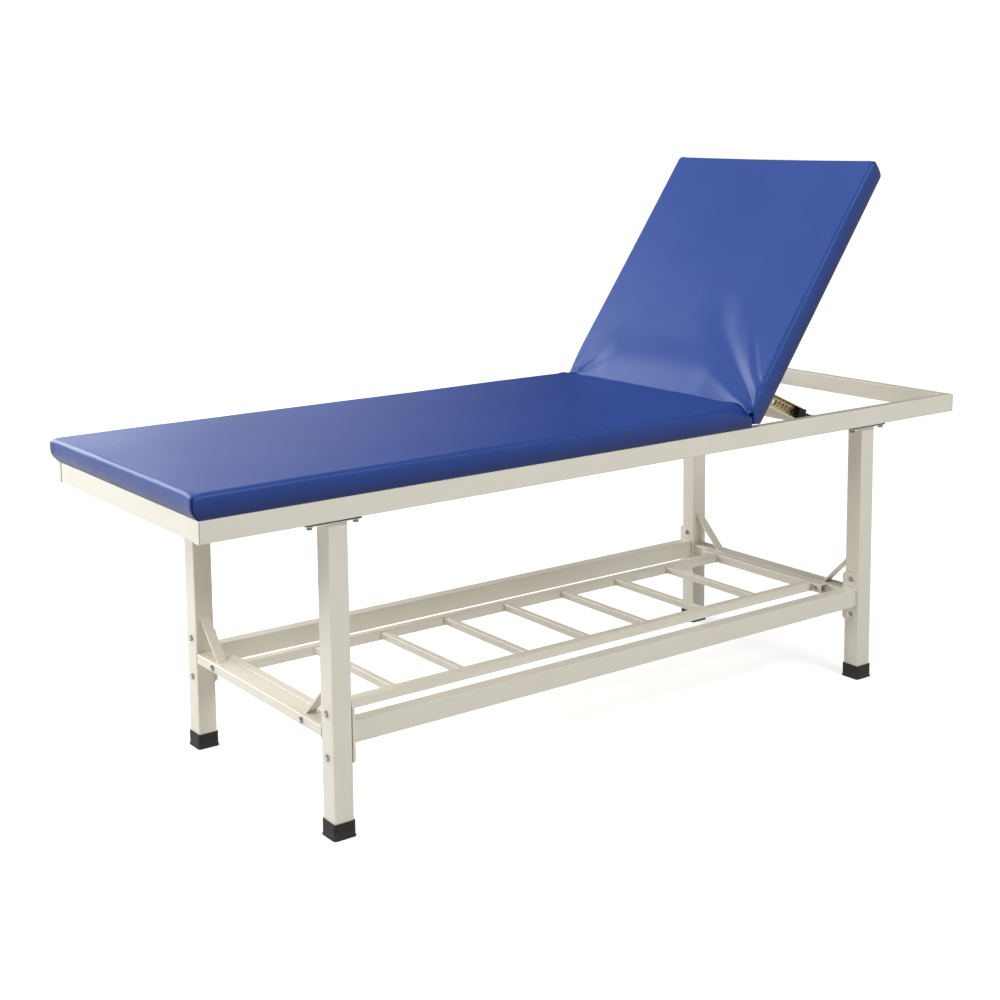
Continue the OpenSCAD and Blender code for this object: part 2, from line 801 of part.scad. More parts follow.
module strut_channel(far) {
  color(gold_zinc)
    on_strut(far) {
      translate([0, web_out + channel_t, 0])
        rotate([90, 0, 0])
          linear_extrude(height = channel_t)
            difference() {
              translate([-channel_top, -channel_h / 2])
                square([channel_l + channel_top, channel_h]);
              toothed_slot();
            }
      for (m = [0, 1])
        mirror([0, 0, m])
          translate([-channel_top, channel_out, channel_h / 2 - channel_t])
            cube([channel_l + channel_top, channel_d, channel_t]);
      translate([0, web_out, 0])
        rotate([-90, 0, 0]) {
          cylinder(r = pin_r, h = lug_out - web_out + lug_t + slide_gap);
          translate([0, 0, lug_out - web_out + lug_t + slide_gap]) cylinder(r = pin_head_r, h = channel_t);
          translate([0, 0, -channel_t]) cylinder(r = pin_head_r, h = channel_t);
        }
    }
}

// Moulded guide: a plug between the flanges, and a collar round the bar outside the channel
module strut_block(far) {
  plug_out = channel_out - channel_t / 2;
  plug_h = channel_h - 2 * channel_t;
  collar_w = lug_out + channel_t - plug_out;
  color(black_rubber)
    on_strut(far)
      difference() {
        union() {
          translate([channel_l + block_proud - block_l, plug_out, -plug_h / 2])
            cube([block_l, web_out - plug_out, plug_h]);
          translate([channel_l, plug_out, -channel_h / 2])
            cube([block_proud, collar_w, channel_h]);
        }
        translate([0, slide_out - slide_gap / 2, -slide_h / 2 - slide_gap / 2])
          cube([strut_rest_l, slide_t + slide_gap, slide_h + slide_gap]);
      }
}

// Angle behind the back board: its slot is the opened pivot of the strut's linkage
module strut_lug(far) {
  lane = lug_lane_r;
  rim = pin_r + lug_t;
  low_x = lug_along - lug_slip - lane - rim;
  high_x = lug_along + lane + rim / 2;
  color(gold_zinc)
    on_back()
      side(far) {
        translate([0, lug_out + lug_t, 0])
          rotate([90, 0, 0])
            linear_extrude(height = lug_t)
              difference() {
                translate([low_x, lug_n - lane - rim / 2])
                  round_rect(high_x - low_x, lug_drop + lane + rim / 2, tube_r);
                translate([lug_along - lug_slip, lug_n]) circle(r = lane);
                translate([lug_along, lug_n]) circle(r = lane);
                translate([lug_along - lug_slip, lug_n - lane]) square([lug_slip, 2 * lane]);
              }
        translate([low_x, lug_out, pad_low - lug_t])
          cube([high_x - low_x, leaf_l, lug_t]);
      }
}

place() side_rail(false);  // side_rail_near
place() side_rail(true);  // side_rail_far
place() end_rail(false);  // end_rail_foot
place() end_rail(true);  // end_rail_head
place() rail_end_caps();
place() seat_cross_tube();
place() hinge_cross_tube();
place() strut_cross_tube();
place() leg(false, false);  // leg_foot_near
place() leg(false, true);  // leg_foot_far
place() leg(true, false);  // leg_head_near
place() leg(true, true);  // leg_head_far
place() cross_beam(false);  // foot_cross_beam
place() cross_beam(true);  // head_cross_beam
place() brace(false, false);  // brace_foot_near
place() brace(false, true);  // brace_foot_far
place() brace(true, false);  // brace_head_near
place() brace(true, true);  // brace_head_far
place() lower_rail(false);  // lower_rail_near
place() lower_rail(true);  // lower_rail_far
place() foot_cap(false, false);  // foot_cap_foot_near
place() foot_cap(false, true);  // foot_cap_foot_far
place() foot_cap(true, false);  // foot_cap_head_near
place() foot_cap(true, true);  // foot_cap_head_far
place() rack_tube(false);  // rack_tube_near
place() rack_tube(true);  // rack_tube_far
place() rack_end(false);  // rack_end_foot
place() rack_end(true);  // rack_end_head
for (i = [1 : bar_count]) place() rack_bar(i);
place() top_bolts();
place() lower_bolts();
place() lower_nuts();
place() rack_bolts();
place() rack_nuts();
place() seat_board();
place() seat_pad();
place() back_board();
place() back_pad();
place() back_tube(false);  // back_tube_near
place() back_tube(true);  // back_tube_far
place() back_tube_top();
place() hinge_seat_leaves();
place() hinge_back_leaves();
place() hinge_pins();
place() strut_foot(false);  // strut_foot_near
place() strut_foot(true);  // strut_foot_far
place() strut_bar(false);  // strut_bar_near
place() strut_bar(true);  // strut_bar_far
place() strut_channel(false);  // strut_channel_near
place() strut_channel(true);  // strut_channel_far
place() strut_block(false);  // strut_block_near
place() strut_block(true);  // strut_block_far
place() strut_lug(false);  // strut_lug_near
place() strut_lug(true);  // strut_lug_far
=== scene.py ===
# Examination table: finishes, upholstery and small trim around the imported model.
# Metres. X runs from the foot end to the head end, Y away from the near side, Z up.
import json
import math

import bpy
import numpy as np
from mathutils import Matrix, Vector, noise


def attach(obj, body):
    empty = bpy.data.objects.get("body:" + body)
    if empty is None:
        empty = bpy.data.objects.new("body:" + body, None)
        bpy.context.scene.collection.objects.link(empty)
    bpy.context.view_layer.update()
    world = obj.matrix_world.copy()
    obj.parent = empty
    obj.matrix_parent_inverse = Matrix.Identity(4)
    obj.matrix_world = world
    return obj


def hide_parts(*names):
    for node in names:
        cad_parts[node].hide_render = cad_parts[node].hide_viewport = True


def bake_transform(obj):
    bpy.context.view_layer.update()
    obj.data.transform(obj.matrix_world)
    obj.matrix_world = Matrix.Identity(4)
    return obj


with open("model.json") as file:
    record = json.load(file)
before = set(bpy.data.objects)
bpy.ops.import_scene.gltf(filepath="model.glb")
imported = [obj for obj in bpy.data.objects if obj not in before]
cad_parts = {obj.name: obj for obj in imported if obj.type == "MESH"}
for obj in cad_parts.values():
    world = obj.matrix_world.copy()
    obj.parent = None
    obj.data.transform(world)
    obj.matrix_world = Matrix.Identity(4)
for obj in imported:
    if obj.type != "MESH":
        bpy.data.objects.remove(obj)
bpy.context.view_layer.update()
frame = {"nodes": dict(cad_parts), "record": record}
MM = 0.001

# Camera of the photograph, in a square frame: place in metres, turns in degrees
CAMERA_PLACE = (-2.0753, -2.6394, 1.2629)
CAMERA_YAW = 54.243
CAMERA_DOWN = 7.795
CAMERA_ROLL = -0.659
CAMERA_REACH = 100.0
SENSOR = 36.0
FOCAL_SHARE = 1.6276
SHIFT_X = 0.0255
SHIFT_Y = -0.1615

# Studio in metres and watts: the floor is lifted to white for the camera, fully beyond a ring,
# the world is dimmer overhead, and the flag is a card that fades along X
WHITE = (1.0, 1.0, 1.0, 1.0)
FLOOR_SIZE = 30.0
FLOOR_GREY = 0.60
FLOOR_LIFT = 0.66
FLOOR_RING = (1.3, 4.0)
WORLD_LIGHT = 0.21
CEILING = 0.35
CEILING_RISE = (0.35, 0.75)
FLAG_X = (0.8, 12.0)
FLAG_Y = 4.3
FLAG_Z = (0.02, 6.0)
FLAG_FADE = (1.0, 3.7)
FLAG_DARK = 0.05
LAMPS = [
    ("key", (-3.6, -0.25, 2.6), (0.0, 0.0, 0.6), 1.6, 73.0),
    ("near", (0.6, -3.8, 3.1), (0.2, 0.0, 0.4), 1.7, 91.0),
    ("top", (-0.4, 0.6, 3.6), (-0.1, 0.0, 0.5), 2.2, 25.0),
    ("rim", (-1.7, 3.5, 2.0), (-0.2, 0.0, 0.7), 2.0, 107.0),
    ("sheen", (0.1, 3.8, 1.3), (-0.8, 0.0, 0.66), 1.3, 8.0),
]

# Colours, and how far the small shadows in corners reach, in metres
LEATHER_TONES = [(0.018, 0.053, 0.268), (0.022, 0.060, 0.294)]
# painted shade down the sides of the covers, from the top of a side to its lower edge
LEATHER_SHADES = [(0.0, (1.0, 1.0, 1.0)), (0.25, (0.80, 0.78, 0.84)),
                  (0.7, (0.62, 0.56, 0.68)), (1.0, (0.44, 0.36, 0.42))]
LEATHER_SHEEN = (0.64, 0.82, 1.0, 1.0)
# dark tone of the corner seams: painted shade of their groove
SEAM_SHADE_TONE = (0.004, 0.006, 0.028)
PAINT_TONES = [(0.788, 0.757, 0.650), (0.812, 0.782, 0.682)]
PAINT_SHADE = (0.42, 0.39, 0.33)
PAINT_REACH = 0.012
# dark tone of the rail joints, and of the painted shade along the leg plates
JOINT_AND_SHADE_TONE = (0.09, 0.085, 0.07)
ZINC_TONES = [(0.40, 0.40, 0.39), (0.66, 0.66, 0.65)]
# zinc of the bolts under the rails, darkened as painted shade
SHADED_ZINC_TONES = [(0.06, 0.06, 0.05), (0.20, 0.20, 0.19)]
GOLD_TONES = [(0.40, 0.33, 0.14), (0.34, 0.31, 0.16), (0.50, 0.38, 0.24)]
# gold zinc of the sliding bars, darkened as painted shade inside the strut's channel, with pinkish
# painted glints
SHADED_BAR_TONES = [(0.10, 0.07, 0.04), (0.34, 0.20, 0.17), (0.16, 0.12, 0.06)]
BLACK_TONES = [(0.06, 0.06, 0.06), (0.12, 0.12, 0.12)]
METAL_SHADE = (0.22, 0.18, 0.12)
METAL_REACH = 0.008
RUBBER_DUSTY = (0.045, 0.040, 0.034)
RUBBER_CLEAN = (0.016, 0.014, 0.012)
RUBBER_DUST_TOP = 0.03
WOOD_TONES = [(0.47, 0.31, 0.17), (0.60, 0.43, 0.25), (0.52, 0.35, 0.20)]

# Sizes of the table in millimetres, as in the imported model. Each pad is drawn flat from the
# hinge axis: x away from it along the board, y across, z square to the board.
HALF_W = 300.0
SEAT_L = 1277.0
BACK_L = 623.0
TILT = math.radians(54.3)
HINGE_X = 333.0
HINGE_Z = 616.4
FRAME_SHIFT = 6.0

# Covers in millimetres: heights above the hinge axis, the joint between the covers (its gap and
# its lean over the seat, the back's heel), reach beyond the boards, roundings
PAD_LOW = 4.0
PAD_TOP = 49.0
POCKET_Z = 16.4
SEAT_GAP = 21.9
LEAN_GAP = 19.7
LEAN = 7.0
LEAN_FROM = 30.0
LEAN_STEPS = 30
HEEL_X, HEEL_RUN = 6.2, 9.0
HEEL_Z = (5.0, 22.0)
OVER_END = 12.0
OVER_SIDE = 3.0
SWELL_SHARE = 0.62
BACK_END_POWER = 0.85
WRAP = 4.0
EDGE_R = 9.0
SHOULDER = PAD_TOP - EDGE_R
HINGE_EDGE = 3.6
CORNER_R = 6.0
CORNER_FADE = 50.0
POCKET_R = 2.0
CROWN, CROWN_RUN = 3.4, 210.0
TOP_MARGIN = 2.0

# Grid of a cover: steps, degrees of the rounding, insets beyond it, rows down the sides as
# shares of their height, and the run beside an edge where rings keep the grid's insets
SEAT_STEP, BACK_STEP = 7.0, 5.0
EDGE_ANGLES = (45.0, 58.0, 72.0, 90.0)
NEAR_EDGE = (2.0, 4.5, 7.5, 11.0, 15.5, 21.0, 27.0)
SIDE_ROWS = (0.0, 0.10, 0.22, 0.36, 0.52, 0.68, 0.84, 1.0)
SIDE_ANGLES = (15.0, 30.0)
FIXED_RUN = 30.0

# Soft shapes of the covers in millimetres; a reach is a run from the end and one from the side
DRAW, DRAW_HIGH, DRAW_ZONE = 2.0, 20.0, 100.0
BACK_DIP, BACK_DIP_REACH = 1.0, (26.0, 34.0)
LIP, LIP_FROM, LIP_REACH = 20.5, 39.0, (18.0, 25.0)
PULL, PULL_REACH = 5.0, (48.0, 30.0)
NEAR_DIP, FAR_DIP, SEAT_DIP_REACH = 18.0, 2.0, (46.0, 25.0)
BULGE, BULGE_PLACE, BULGE_REACH = 3.0, (16.0, 14.0), (12.0, 10.0)
TUCK_FROM = 10.0
NEAR_DROP, FAR_DROP, DROP_REACH, DROP_HIGH = 3.0, 1.0, (16.0, 16.0), 25.0
GROOVE, GROOVE_WIDE, GROOVE_ZONE, GROOVE_SHARE = 2.6, 0.9, 7.0, 0.7
FLAP, FLAP_WIDE, FLAP_RISE, FLAP_LOW, FLAP_IN = 0.9, 30.0, 18.0, 8.0, 4.0
PUCKER, PUCKER_HIGH, PUCKER_IN = 0.7, 34.0, 8.0
PUCKER_SMALL, PUCKER_BROAD = (26.0, 5.0), (110.0, 9.0)
CREASE_IN = 3.5
UNEVEN, UNEVEN_SIZE, SEAT_SEED, BACK_SEED = 0.8, 170.0, 11.0, 3.0
UNEVEN_FINE, UNEVEN_FINE_SIZE, UNEVEN_FINE_SEED = 0.25, 60.0, 7.0
# painted shade on the sides of the covers: it starts at this height and deepens over this run
SHADE_TOP, SHADE_RUN = 44.0, 37.0

# Strip of cover in the joint, in millimetres
FOLD_LAYERS, FOLD_ROWS, FOLD_STEP = 17, 14, 18.0
FOLD_TOP, FOLD_LOW, FOLD_POWER = 44.2, 4.3, 1.6
FOLD_GAP = 0.25
FOLD_IN, FOLD_EDGE = 1.5, 3.0
FOLD_NEAR_DROP, FOLD_FAR_DROP, FOLD_DROP_WIDE = 17.0, 2.0, 25.0

# Creases of the back cover: path in the pad's plane, rise at both ends, width at both ends
CREASES = [
    # near corner: main valley, the ridge on its left, a narrow tuck and its rim, the right side
    ([(14, -309), (38, -288), (63, -262), (94, -224), (134, -179), (176, -135), (235, -88)],
     (-8.0, -0.2), (5.0, 29.0)),
    ([(10, -300), (26, -272), (42, -232), (66, -182), (92, -128)], (4.0, 1.5), (5.0, 22.0)),
    ([(44, -254), (31, -278), (16, -303)], (-0.5, -3.6), (3.4, 2.6)),
    ([(38, -250), (26, -275), (11, -300)], (0.5, 3.0), (4.0, 3.4)),
    ([(33, -305), (67, -291), (101, -257), (161, -216), (219, -179)], (1.8, 0.3), (6.0, 20.0)),
    ([(60, -306), (74, -297), (102, -268), (150, -236), (195, -208)], (-2.6, -0.3), (4.0, 9.0)),
    # soft band above the joint
    ([(80, 170), (88, 60), (88, -60), (80, -130)], (5.0, 4.0), (46.0, 46.0)),
    # far corner
    ([(18, 296), (33, 268), (63, 244), (121, 210), (168, 154), (208, 95)], (3.4, 0.0), (6.0, 24.0)),
    ([(30, 290), (58, 278), (95, 264), (135, 246)], (-2.2, 0.0), (5.0, 16.0)),
    ([(40, 250), (66, 210), (96, 160), (120, 100)], (-2.2, 0.0), (7.0, 22.0)),
    # where the main valley runs out
    ([(235, -90), (185, -112)], (-2.0, -2.0), (36.0, 36.0)),
]

# Weld beads in millimetres: centre, the axes of the bead's plane, half sizes and corner radius of
# the tube's end. The first list is for one quarter of the frame, the others are for one side: the
# cross tubes under the top, the cross bars of the rack, and the tube across the back.
BEAD_R, BEAD_STEP, BEAD_CORNER = 1.5, 3.0, 2.0
BEAD_UNEVEN, BEAD_GRAIN = 0.22, 5.0
QUARTER_WELDS = [
    ((680, 265, 576), (0, 1), (20, 20), BEAD_CORNER),  # leg and its top plate
    ((680, 245, 190), (0, 2), (20, 10), BEAD_CORNER),  # cross beam and leg
    ((656, 265, 188), (1, 2), (15, 20), BEAD_CORNER),  # lower rail and its end plate
    ((640, 152, 190), (1, 2), (10, 10), BEAD_CORNER),  # long tube and end tube of the rack
    ((680, 245, 272), (0, 2), (10, 2.9), 1.2),  # brace and leg
    ((680, 173, 200), (0, 1), (10, 2.9), 1.2),  # brace and cross beam
]
TUBE_WELDS = [((x, 280, z), (0, 2), (10, 10), BEAD_CORNER)
              for x, z in ((-310, 610), (312.2, 608.4), (581.8, 590))]
BAR_WELDS = [((160 * k, 142, 190), (0, 2), (7.5, 7.5), 1.5) for k in range(-3, 4)]
BACK_WELD = ((549, 180, -3.5), (0, 2), (10, 7.5), BEAD_CORNER)

# Dark lines in millimetres: joint lines on the end faces and outer sides of the side rails, and
# painted shade under them along the leg plates, whose middles lie at PLATE_X
END_LINE = ((949.0, 950.2), (278.5, 281.5), (581.0, 619.0))
SIDE_LINE = ((948.1, 948.7), (299.4, 300.15), (582.0, 618.0))
PLATE_X = {-1: -693.0, 1: 667.0}
PLATE_REACH, PLATE_OUT = 54.0, 55.2
PLATE_Y, PLATE_FACE_Y = (262.0, 296.0), (296.0, 297.2)
PLATE_Z = (577.2, 580.2)

# Seams, hems, staples and screws of the pads in millimetres
SEAM_R, SEAM_POINTS, SEAM_UP, SEAM_SHORT = 1.5, 15, 0.8, 5.5
SEAM_TURN, SEAM_SAG = 0.72, 1.4
SEAT_HEM, BACK_HEM = 60.0, 44.0
HEM_INSET, HEM_WIDE, HEM_STEP, HEM_FIRST = 4.6, 34.0, 24.0, 20.0
HEM_Z = (PAD_LOW - 0.02, PAD_LOW - 0.34)
CUT, CUT_SIZE = 2.0, 40.0
STAPLE_IN, STAPLE_HALF, WIRE_HALF = 7.0, 5.0, 0.5
STAPLE_Z = (PAD_LOW - 0.95, PAD_LOW - 0.30)
STAPLE_ENDS, STAPLE_STEP = (30.0, 50.0), 58.0
END_STAPLES = np.arange(-240.0, 241.0, 60.0)
SMALL_SCREW, TUBE_SCREW = (3.2, 1.5), (3.6, 1.8)
SMALL_SCREWS = [(66.0, 227.0, 0.5), (86.0, 227.0, 0.5),
                (20.0, 222.0, 2.0), (20.0, 240.0, 2.0), (20.0, 258.0, 2.0)]
TUBE_SCREWS = [(x, 190.0, -11.0) for x in (120.0, 330.0, 500.0)]


def add_camera():
    """Camera at the photograph's place and angle."""
    data = bpy.data.cameras.new("camera")
    data.sensor_fit = "HORIZONTAL"
    data.sensor_width = SENSOR
    data.lens = FOCAL_SHARE * SENSOR
    data.shift_x = SHIFT_X
    data.shift_y = SHIFT_Y
    data.clip_end = CAMERA_REACH
    yaw, down, roll = (math.radians(a) for a in (CAMERA_YAW, CAMERA_DOWN, CAMERA_ROLL))
    level = math.cos(down)
    ahead = Vector((math.cos(yaw) * level, math.sin(yaw) * level, -math.sin(down)))
    right = Vector((math.sin(yaw), -math.cos(yaw), 0.0))
    up = right.cross(ahead)
    right_rolled = right * math.cos(roll) + up * math.sin(roll)
    up_rolled = up * math.cos(roll) - right * math.sin(roll)
    turn = Matrix((right_rolled, up_rolled, -ahead)).transposed().to_4x4()
    camera = bpy.data.objects.new("camera", data)
    camera.matrix_world = Matrix.Translation(CAMERA_PLACE) @ turn
    bpy.context.scene.collection.objects.link(camera)
    bpy.context.scene.camera = camera


def adder(tree):
    """Function that adds nodes to this tree."""

    def add(kind, inputs=None, **settings):
        """New node; an input is a socket to link from, or a constant."""
        node = tree.nodes.new(kind)
        for key, value in settings.items():
            setattr(node, key, value)
        for key, value in (inputs or {}).items():
            if isinstance(value, bpy.types.NodeSocket):
                tree.links.new(value, node.inputs[key])
            else:
                node.inputs[key].default_value = value
        return node

    return add


def node_material(name):
    """New material with its node tree, its shader, and the function that adds nodes to it."""
    material = bpy.data.materials.new(name)
    material.use_nodes = True
    tree = material.node_tree
    return material, tree, tree.nodes["Principled BSDF"], adder(tree)


def ramp(add, value, stops):
    """Colour ramp through (place, colour) stops."""
    node = add("ShaderNodeValToRGB", {"Fac": value})
    elements = node.color_ramp.elements
    while len(elements) < len(stops):
        elements.new(0.5)
    for element, (place, colour) in zip(elements, stops):
        element.position = place
        element.color = (*(colour if isinstance(colour, tuple) else (colour,) * 3), 1.0)
    return node.outputs["Color"]


def socket(shader, **values):
    """Sets constants on a shader's own sockets."""
    for key, value in values.items():
        shader.inputs[key.replace("_", " ")].default_value = value


def map_range(add, value, start, end, **settings):
    """A value moved from one range to another."""
    node = add("ShaderNodeMapRange", {"Value": value, "From Min": start[0], "From Max": start[1],
                                      "To Min": end[0], "To Max": end[1]}, **settings)
    return node.outputs["Result"]


def greater(add, first, second):
    """The greater of two values."""
    return add("ShaderNodeMath", {0: first, 1: second}, operation="MAXIMUM").outputs[0]


def noise_node(add, place, scale, detail=3.0, rough=0.5):
    """Noise with this many grains to the unit."""
    return add("ShaderNodeTexNoise",
               {"Vector": place, "Scale": scale, "Detail": detail, "Roughness": rough})


def stretched(add, place, scale):
    """Coordinates scaled along each axis."""
    return add("ShaderNodeMapping", {"Vector": place, "Scale": scale}).outputs["Vector"]


def blend_colours(add, how, share, first, second):
    """Two colours blended in one of the mix node's ways."""
    node = add("ShaderNodeMix", {"Factor": share, "A": first, "B": second},
               data_type="RGBA", blend_type=how)
    return node.outputs["Result"]


def corner_shade(add, reach, low, high, shade):
    """White that darkens towards a shade in corners and joints."""
    near = add("ShaderNodeAmbientOcclusion", {"Distance": reach}, samples=8)
    return ramp(add, near.outputs["AO"], [(low, shade), (high, (1.0, 1.0, 1.0))])


def bump(add, tree, shader, height, strength, distance, below=None):
    """Bumps the shader's surface, on top of the bump given as below."""
    inputs = {"Height": height, "Strength": strength, "Distance": distance}
    if below is not None:
        inputs["Normal"] = below
    node = add("ShaderNodeBump", inputs)
    tree.links.new(node.outputs["Normal"], shader.inputs["Normal"])
    return node.outputs["Normal"]


def cover_material():
    """Polyurethane leather: satin blue with a fine pebble grain, with painted shade low on the
    sides.
    """
    material, tree, shader, add = node_material("cover")
    place = add("ShaderNodeTexCoord").outputs["Object"]
    cells = add("ShaderNodeTexVoronoi", {"Vector": place, "Scale": 620.0, "Randomness": 1.0},
                feature="DISTANCE_TO_EDGE")
    fine = noise_node(add, place, 1700.0, 4.0, 0.6)
    broad = noise_node(add, place, 6.0, 3.0)
    valley = ramp(add, cells.outputs["Distance"], [(0.0, 0.0), (0.22, 1.0)])
    tone = ramp(add, broad.outputs["Fac"], list(zip((0.3, 0.7), LEATHER_TONES)))
    tone = blend_colours(add, "MULTIPLY", 0.16, tone, valley)
    # painted shade, darker low on the sides
    low = add("ShaderNodeAttribute", attribute_name="edge_shade")
    shade = ramp(add, low.outputs["Fac"], LEATHER_SHADES)
    tone = blend_colours(add, "MULTIPLY", 1.0, tone, shade)
    tree.links.new(tone, shader.inputs["Base Color"])
    rough = ramp(add, fine.outputs["Fac"], [(0.3, 0.36), (0.7, 0.46)])
    tree.links.new(rough, shader.inputs["Roughness"])
    grain = bump(add, tree, shader, fine.outputs["Fac"], 0.10, 0.0003)
    bump(add, tree, shader, valley, 0.16, 0.0003, grain)
    socket(shader, Specular_IOR_Level=0.35, Specular_Tint=LEATHER_SHEEN)
    return material


def paint_material():
    """Powder coat: warm cream with a faint orange peel, and painted shade in the joints."""
    material, tree, shader, add = node_material("cream_paint")
    place = add("ShaderNodeTexCoord").outputs["Object"]
    peel = noise_node(add, place, 420.0, 2.0)
    broad = noise_node(add, place, 9.0, 4.0)
    tone = ramp(add, broad.outputs["Fac"], list(zip((0.3, 0.7), PAINT_TONES)))
    # painted shade: the cream darkens in corners and joints, where shade falls
    painted_corner_shade = corner_shade(add, PAINT_REACH, 0.25, 0.75, PAINT_SHADE)
    tree.links.new(blend_colours(add, "MULTIPLY", 0.75, tone, painted_corner_shade), shader.inputs["Base Color"])
    rough = ramp(add, peel.outputs["Fac"], [(0.3, 0.30), (0.7, 0.38)])
    tree.links.new(rough, shader.inputs["Roughness"])
    bump(add, tree, shader, peel.outputs["Fac"], 0.10, 0.0004)
    socket(shader, Specular_IOR_Level=0.45)
    return material


def metal_material(name, tones, rough, cloud_scale=60.0, corner=0.0):
    """Plated or blackened steel with a cloudy tone, faint drawn lines and painted shade in corners.
    """
    material, tree, shader, add = node_material(name)
    place = add("ShaderNodeTexCoord").outputs["Object"]
    cloud = noise_node(add, place, cloud_scale, 5.0, 0.6)
    lines = noise_node(add, stretched(add, place, (40.0, 900.0, 900.0)), 1.0, 2.0)
    places = [0.3 + 0.4 * i / (len(tones) - 1) for i in range(len(tones))]
    tone = ramp(add, cloud.outputs["Fac"], list(zip(places, tones)))
    # painted shade: the metal darkens in corners and joints by the share given as corner
    shade = corner_shade(add, METAL_REACH, 0.2, 0.8, METAL_SHADE)
    tree.links.new(blend_colours(add, "MULTIPLY", corner, tone, shade), shader.inputs["Base Color"])
    drawn = ramp(add, lines.outputs["Fac"], [(0.3, rough[0]), (0.7, rough[1])])
    tree.links.new(drawn, shader.inputs["Roughness"])
    bump(add, tree, shader, lines.outputs["Fac"], 0.06, 0.0002)
    socket(shader, Metallic=1.0)
    return material


def rubber_material():
    """Moulded black rubber, dusty towards the floor."""
    material, tree, shader, add = node_material("rubber")
    place = add("ShaderNodeTexCoord").outputs["Object"]
    fine = noise_node(add, place, 900.0, 4.0)
    height = add("ShaderNodeSeparateXYZ", {"Vector": place}).outputs["Z"]
    rise = map_range(add, height, (0.0, RUBBER_DUST_TOP), (0.0, 1.0))
    dust = ramp(add, rise, [(0.0, RUBBER_DUSTY), (0.5, RUBBER_CLEAN)])
    tree.links.new(dust, shader.inputs["Base Color"])
    rough = ramp(add, fine.outputs["Fac"], [(0.3, 0.5), (0.7, 0.72)])
    tree.links.new(rough, shader.inputs["Roughness"])
    bump(add, tree, shader, fine.outputs["Fac"], 0.15, 0.0003)
    socket(shader, Specular_IOR_Level=0.25)
    return material


def plywood_material(name, slope):
    """Raw plywood: flat-sawn face grain and thin plies on the edges of a board at this slope."""
    material, tree, shader, add = node_material(name)
    place = add("ShaderNodeTexCoord").outputs["Object"]
    turned = add("ShaderNodeMapping", {"Vector": place, "Rotation": (0.0, slope, 0.0)})
    level = turned.outputs["Vector"]
    grain = noise_node(add, stretched(add, level, (3.0, 38.0, 420.0)), 1.0, 6.0, 0.6)
    pores = noise_node(add, stretched(add, level, (40.0, 900.0, 900.0)), 1.0, 2.0)
    tone = ramp(add, grain.outputs["Fac"], list(zip((0.3, 0.55, 0.72), WOOD_TONES)))
    mixed = blend_colours(add, "SOFT_LIGHT", 0.35, tone, pores.outputs["Color"])
    tree.links.new(mixed, shader.inputs["Base Color"])
    bump(add, tree, shader, pores.outputs["Fac"], 0.25, 0.0004)
    socket(shader, Roughness=0.75)
    return material


def dark_material(name, colour, rough):
    """Dark line, for painted shade and for dark joints: one dark tone, faintly uneven."""
    material, tree, shader, add = node_material(name)
    place = add("ShaderNodeTexCoord").outputs["Object"]
    cloud = noise_node(add, place, 300.0, 2.0)
    darker = tuple(0.7 * c for c in colour)
    tone = ramp(add, cloud.outputs["Fac"], [(0.3, darker), (0.7, colour)])
    tree.links.new(tone, shader.inputs["Base Color"])
    socket(shader, Roughness=rough, Specular_IOR_Level=0.2)
    return material


def make_finishes():
    """Finish of every material slot, and those of single nodes that differ from their slot's."""
    return {
        "cover": cover_material(),
        "cream_paint": paint_material(),
        "rubber": rubber_material(),
        "plywood": plywood_material("plywood", 0.0),
        "plywood_back": plywood_material("plywood_back", TILT),
        "zinc": metal_material("zinc", ZINC_TONES, (0.24, 0.38), 160.0, 0.9),
        "shaded_zinc": metal_material("shaded_zinc", SHADED_ZINC_TONES, (0.30, 0.45), 90.0, 0.8),
        "gold_zinc": metal_material("gold_zinc", GOLD_TONES, (0.26, 0.42), 45.0, 0.9),
        "shaded_gold_bar": metal_material("shaded_gold_bar", SHADED_BAR_TONES, (0.26, 0.42), 110.0, 0.9),
        "hinge_black": metal_material("hinge_black", BLACK_TONES, (0.35, 0.5)),
    }


def finish_nodes(finishes):
    """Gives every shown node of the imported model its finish."""
    slots = {part["node"]: part["material_slot"] for part in frame["record"]["subparts"]}
    # the bolts under the rails take a darkened copy of zinc: painted shade
    own = {"back_board": "plywood_back", "top_bolts": "shaded_zinc",
           # the sliding bars take a darkened copy of gold zinc: painted shade inside the channel
           "strut_bar_near": "shaded_gold_bar", "strut_bar_far": "shaded_gold_bar"}
    for name, node in frame["nodes"].items():
        for material_slot in node.material_slots:
            material_slot.link = "OBJECT"
            material_slot.material = finishes[own.get(name, slots[name])]


def mesh_object(name, points, faces, material, smooth_shade=True):
    """New piece from points in metres."""
    mesh = bpy.data.meshes.new(name)
    mesh.from_pydata([tuple(p) for p in points], [], faces)
    mesh.validate()
    mesh.materials.append(material)
    if smooth_shade:
        mesh.polygons.foreach_set("use_smooth", [True] * len(mesh.polygons))
    piece = bpy.data.objects.new(name, mesh)
    bpy.context.scene.collection.objects.link(piece)
    return piece


def add_flag():
    """Card unseen by the camera that keeps the white studio out of the gloss on the seat."""
    (x0, x1), (z0, z1) = FLAG_X, FLAG_Z
    corners = [(x0, FLAG_Y, z0), (x1, FLAG_Y, z0), (x1, FLAG_Y, z1), (x0, FLAG_Y, z1)]
    material, tree, _, add = node_material("flag")
    place = add("ShaderNodeTexCoord").outputs["Object"]
    along = add("ShaderNodeSeparateXYZ", {"Vector": place}).outputs["X"]
    level = map_range(add, along, FLAG_FADE, (1.0, FLAG_DARK), interpolation_type="SMOOTHSTEP")
    glow = add("ShaderNodeEmission", {"Color": WHITE, "Strength": level})
    tree.links.new(glow.outputs[0], tree.nodes["Material Output"].inputs["Surface"])
    flag = mesh_object("flag", corners, [(0, 1, 2, 3)], material, False)
    flag.visible_camera = False
    flag.visible_shadow = False
    flag.visible_diffuse = False


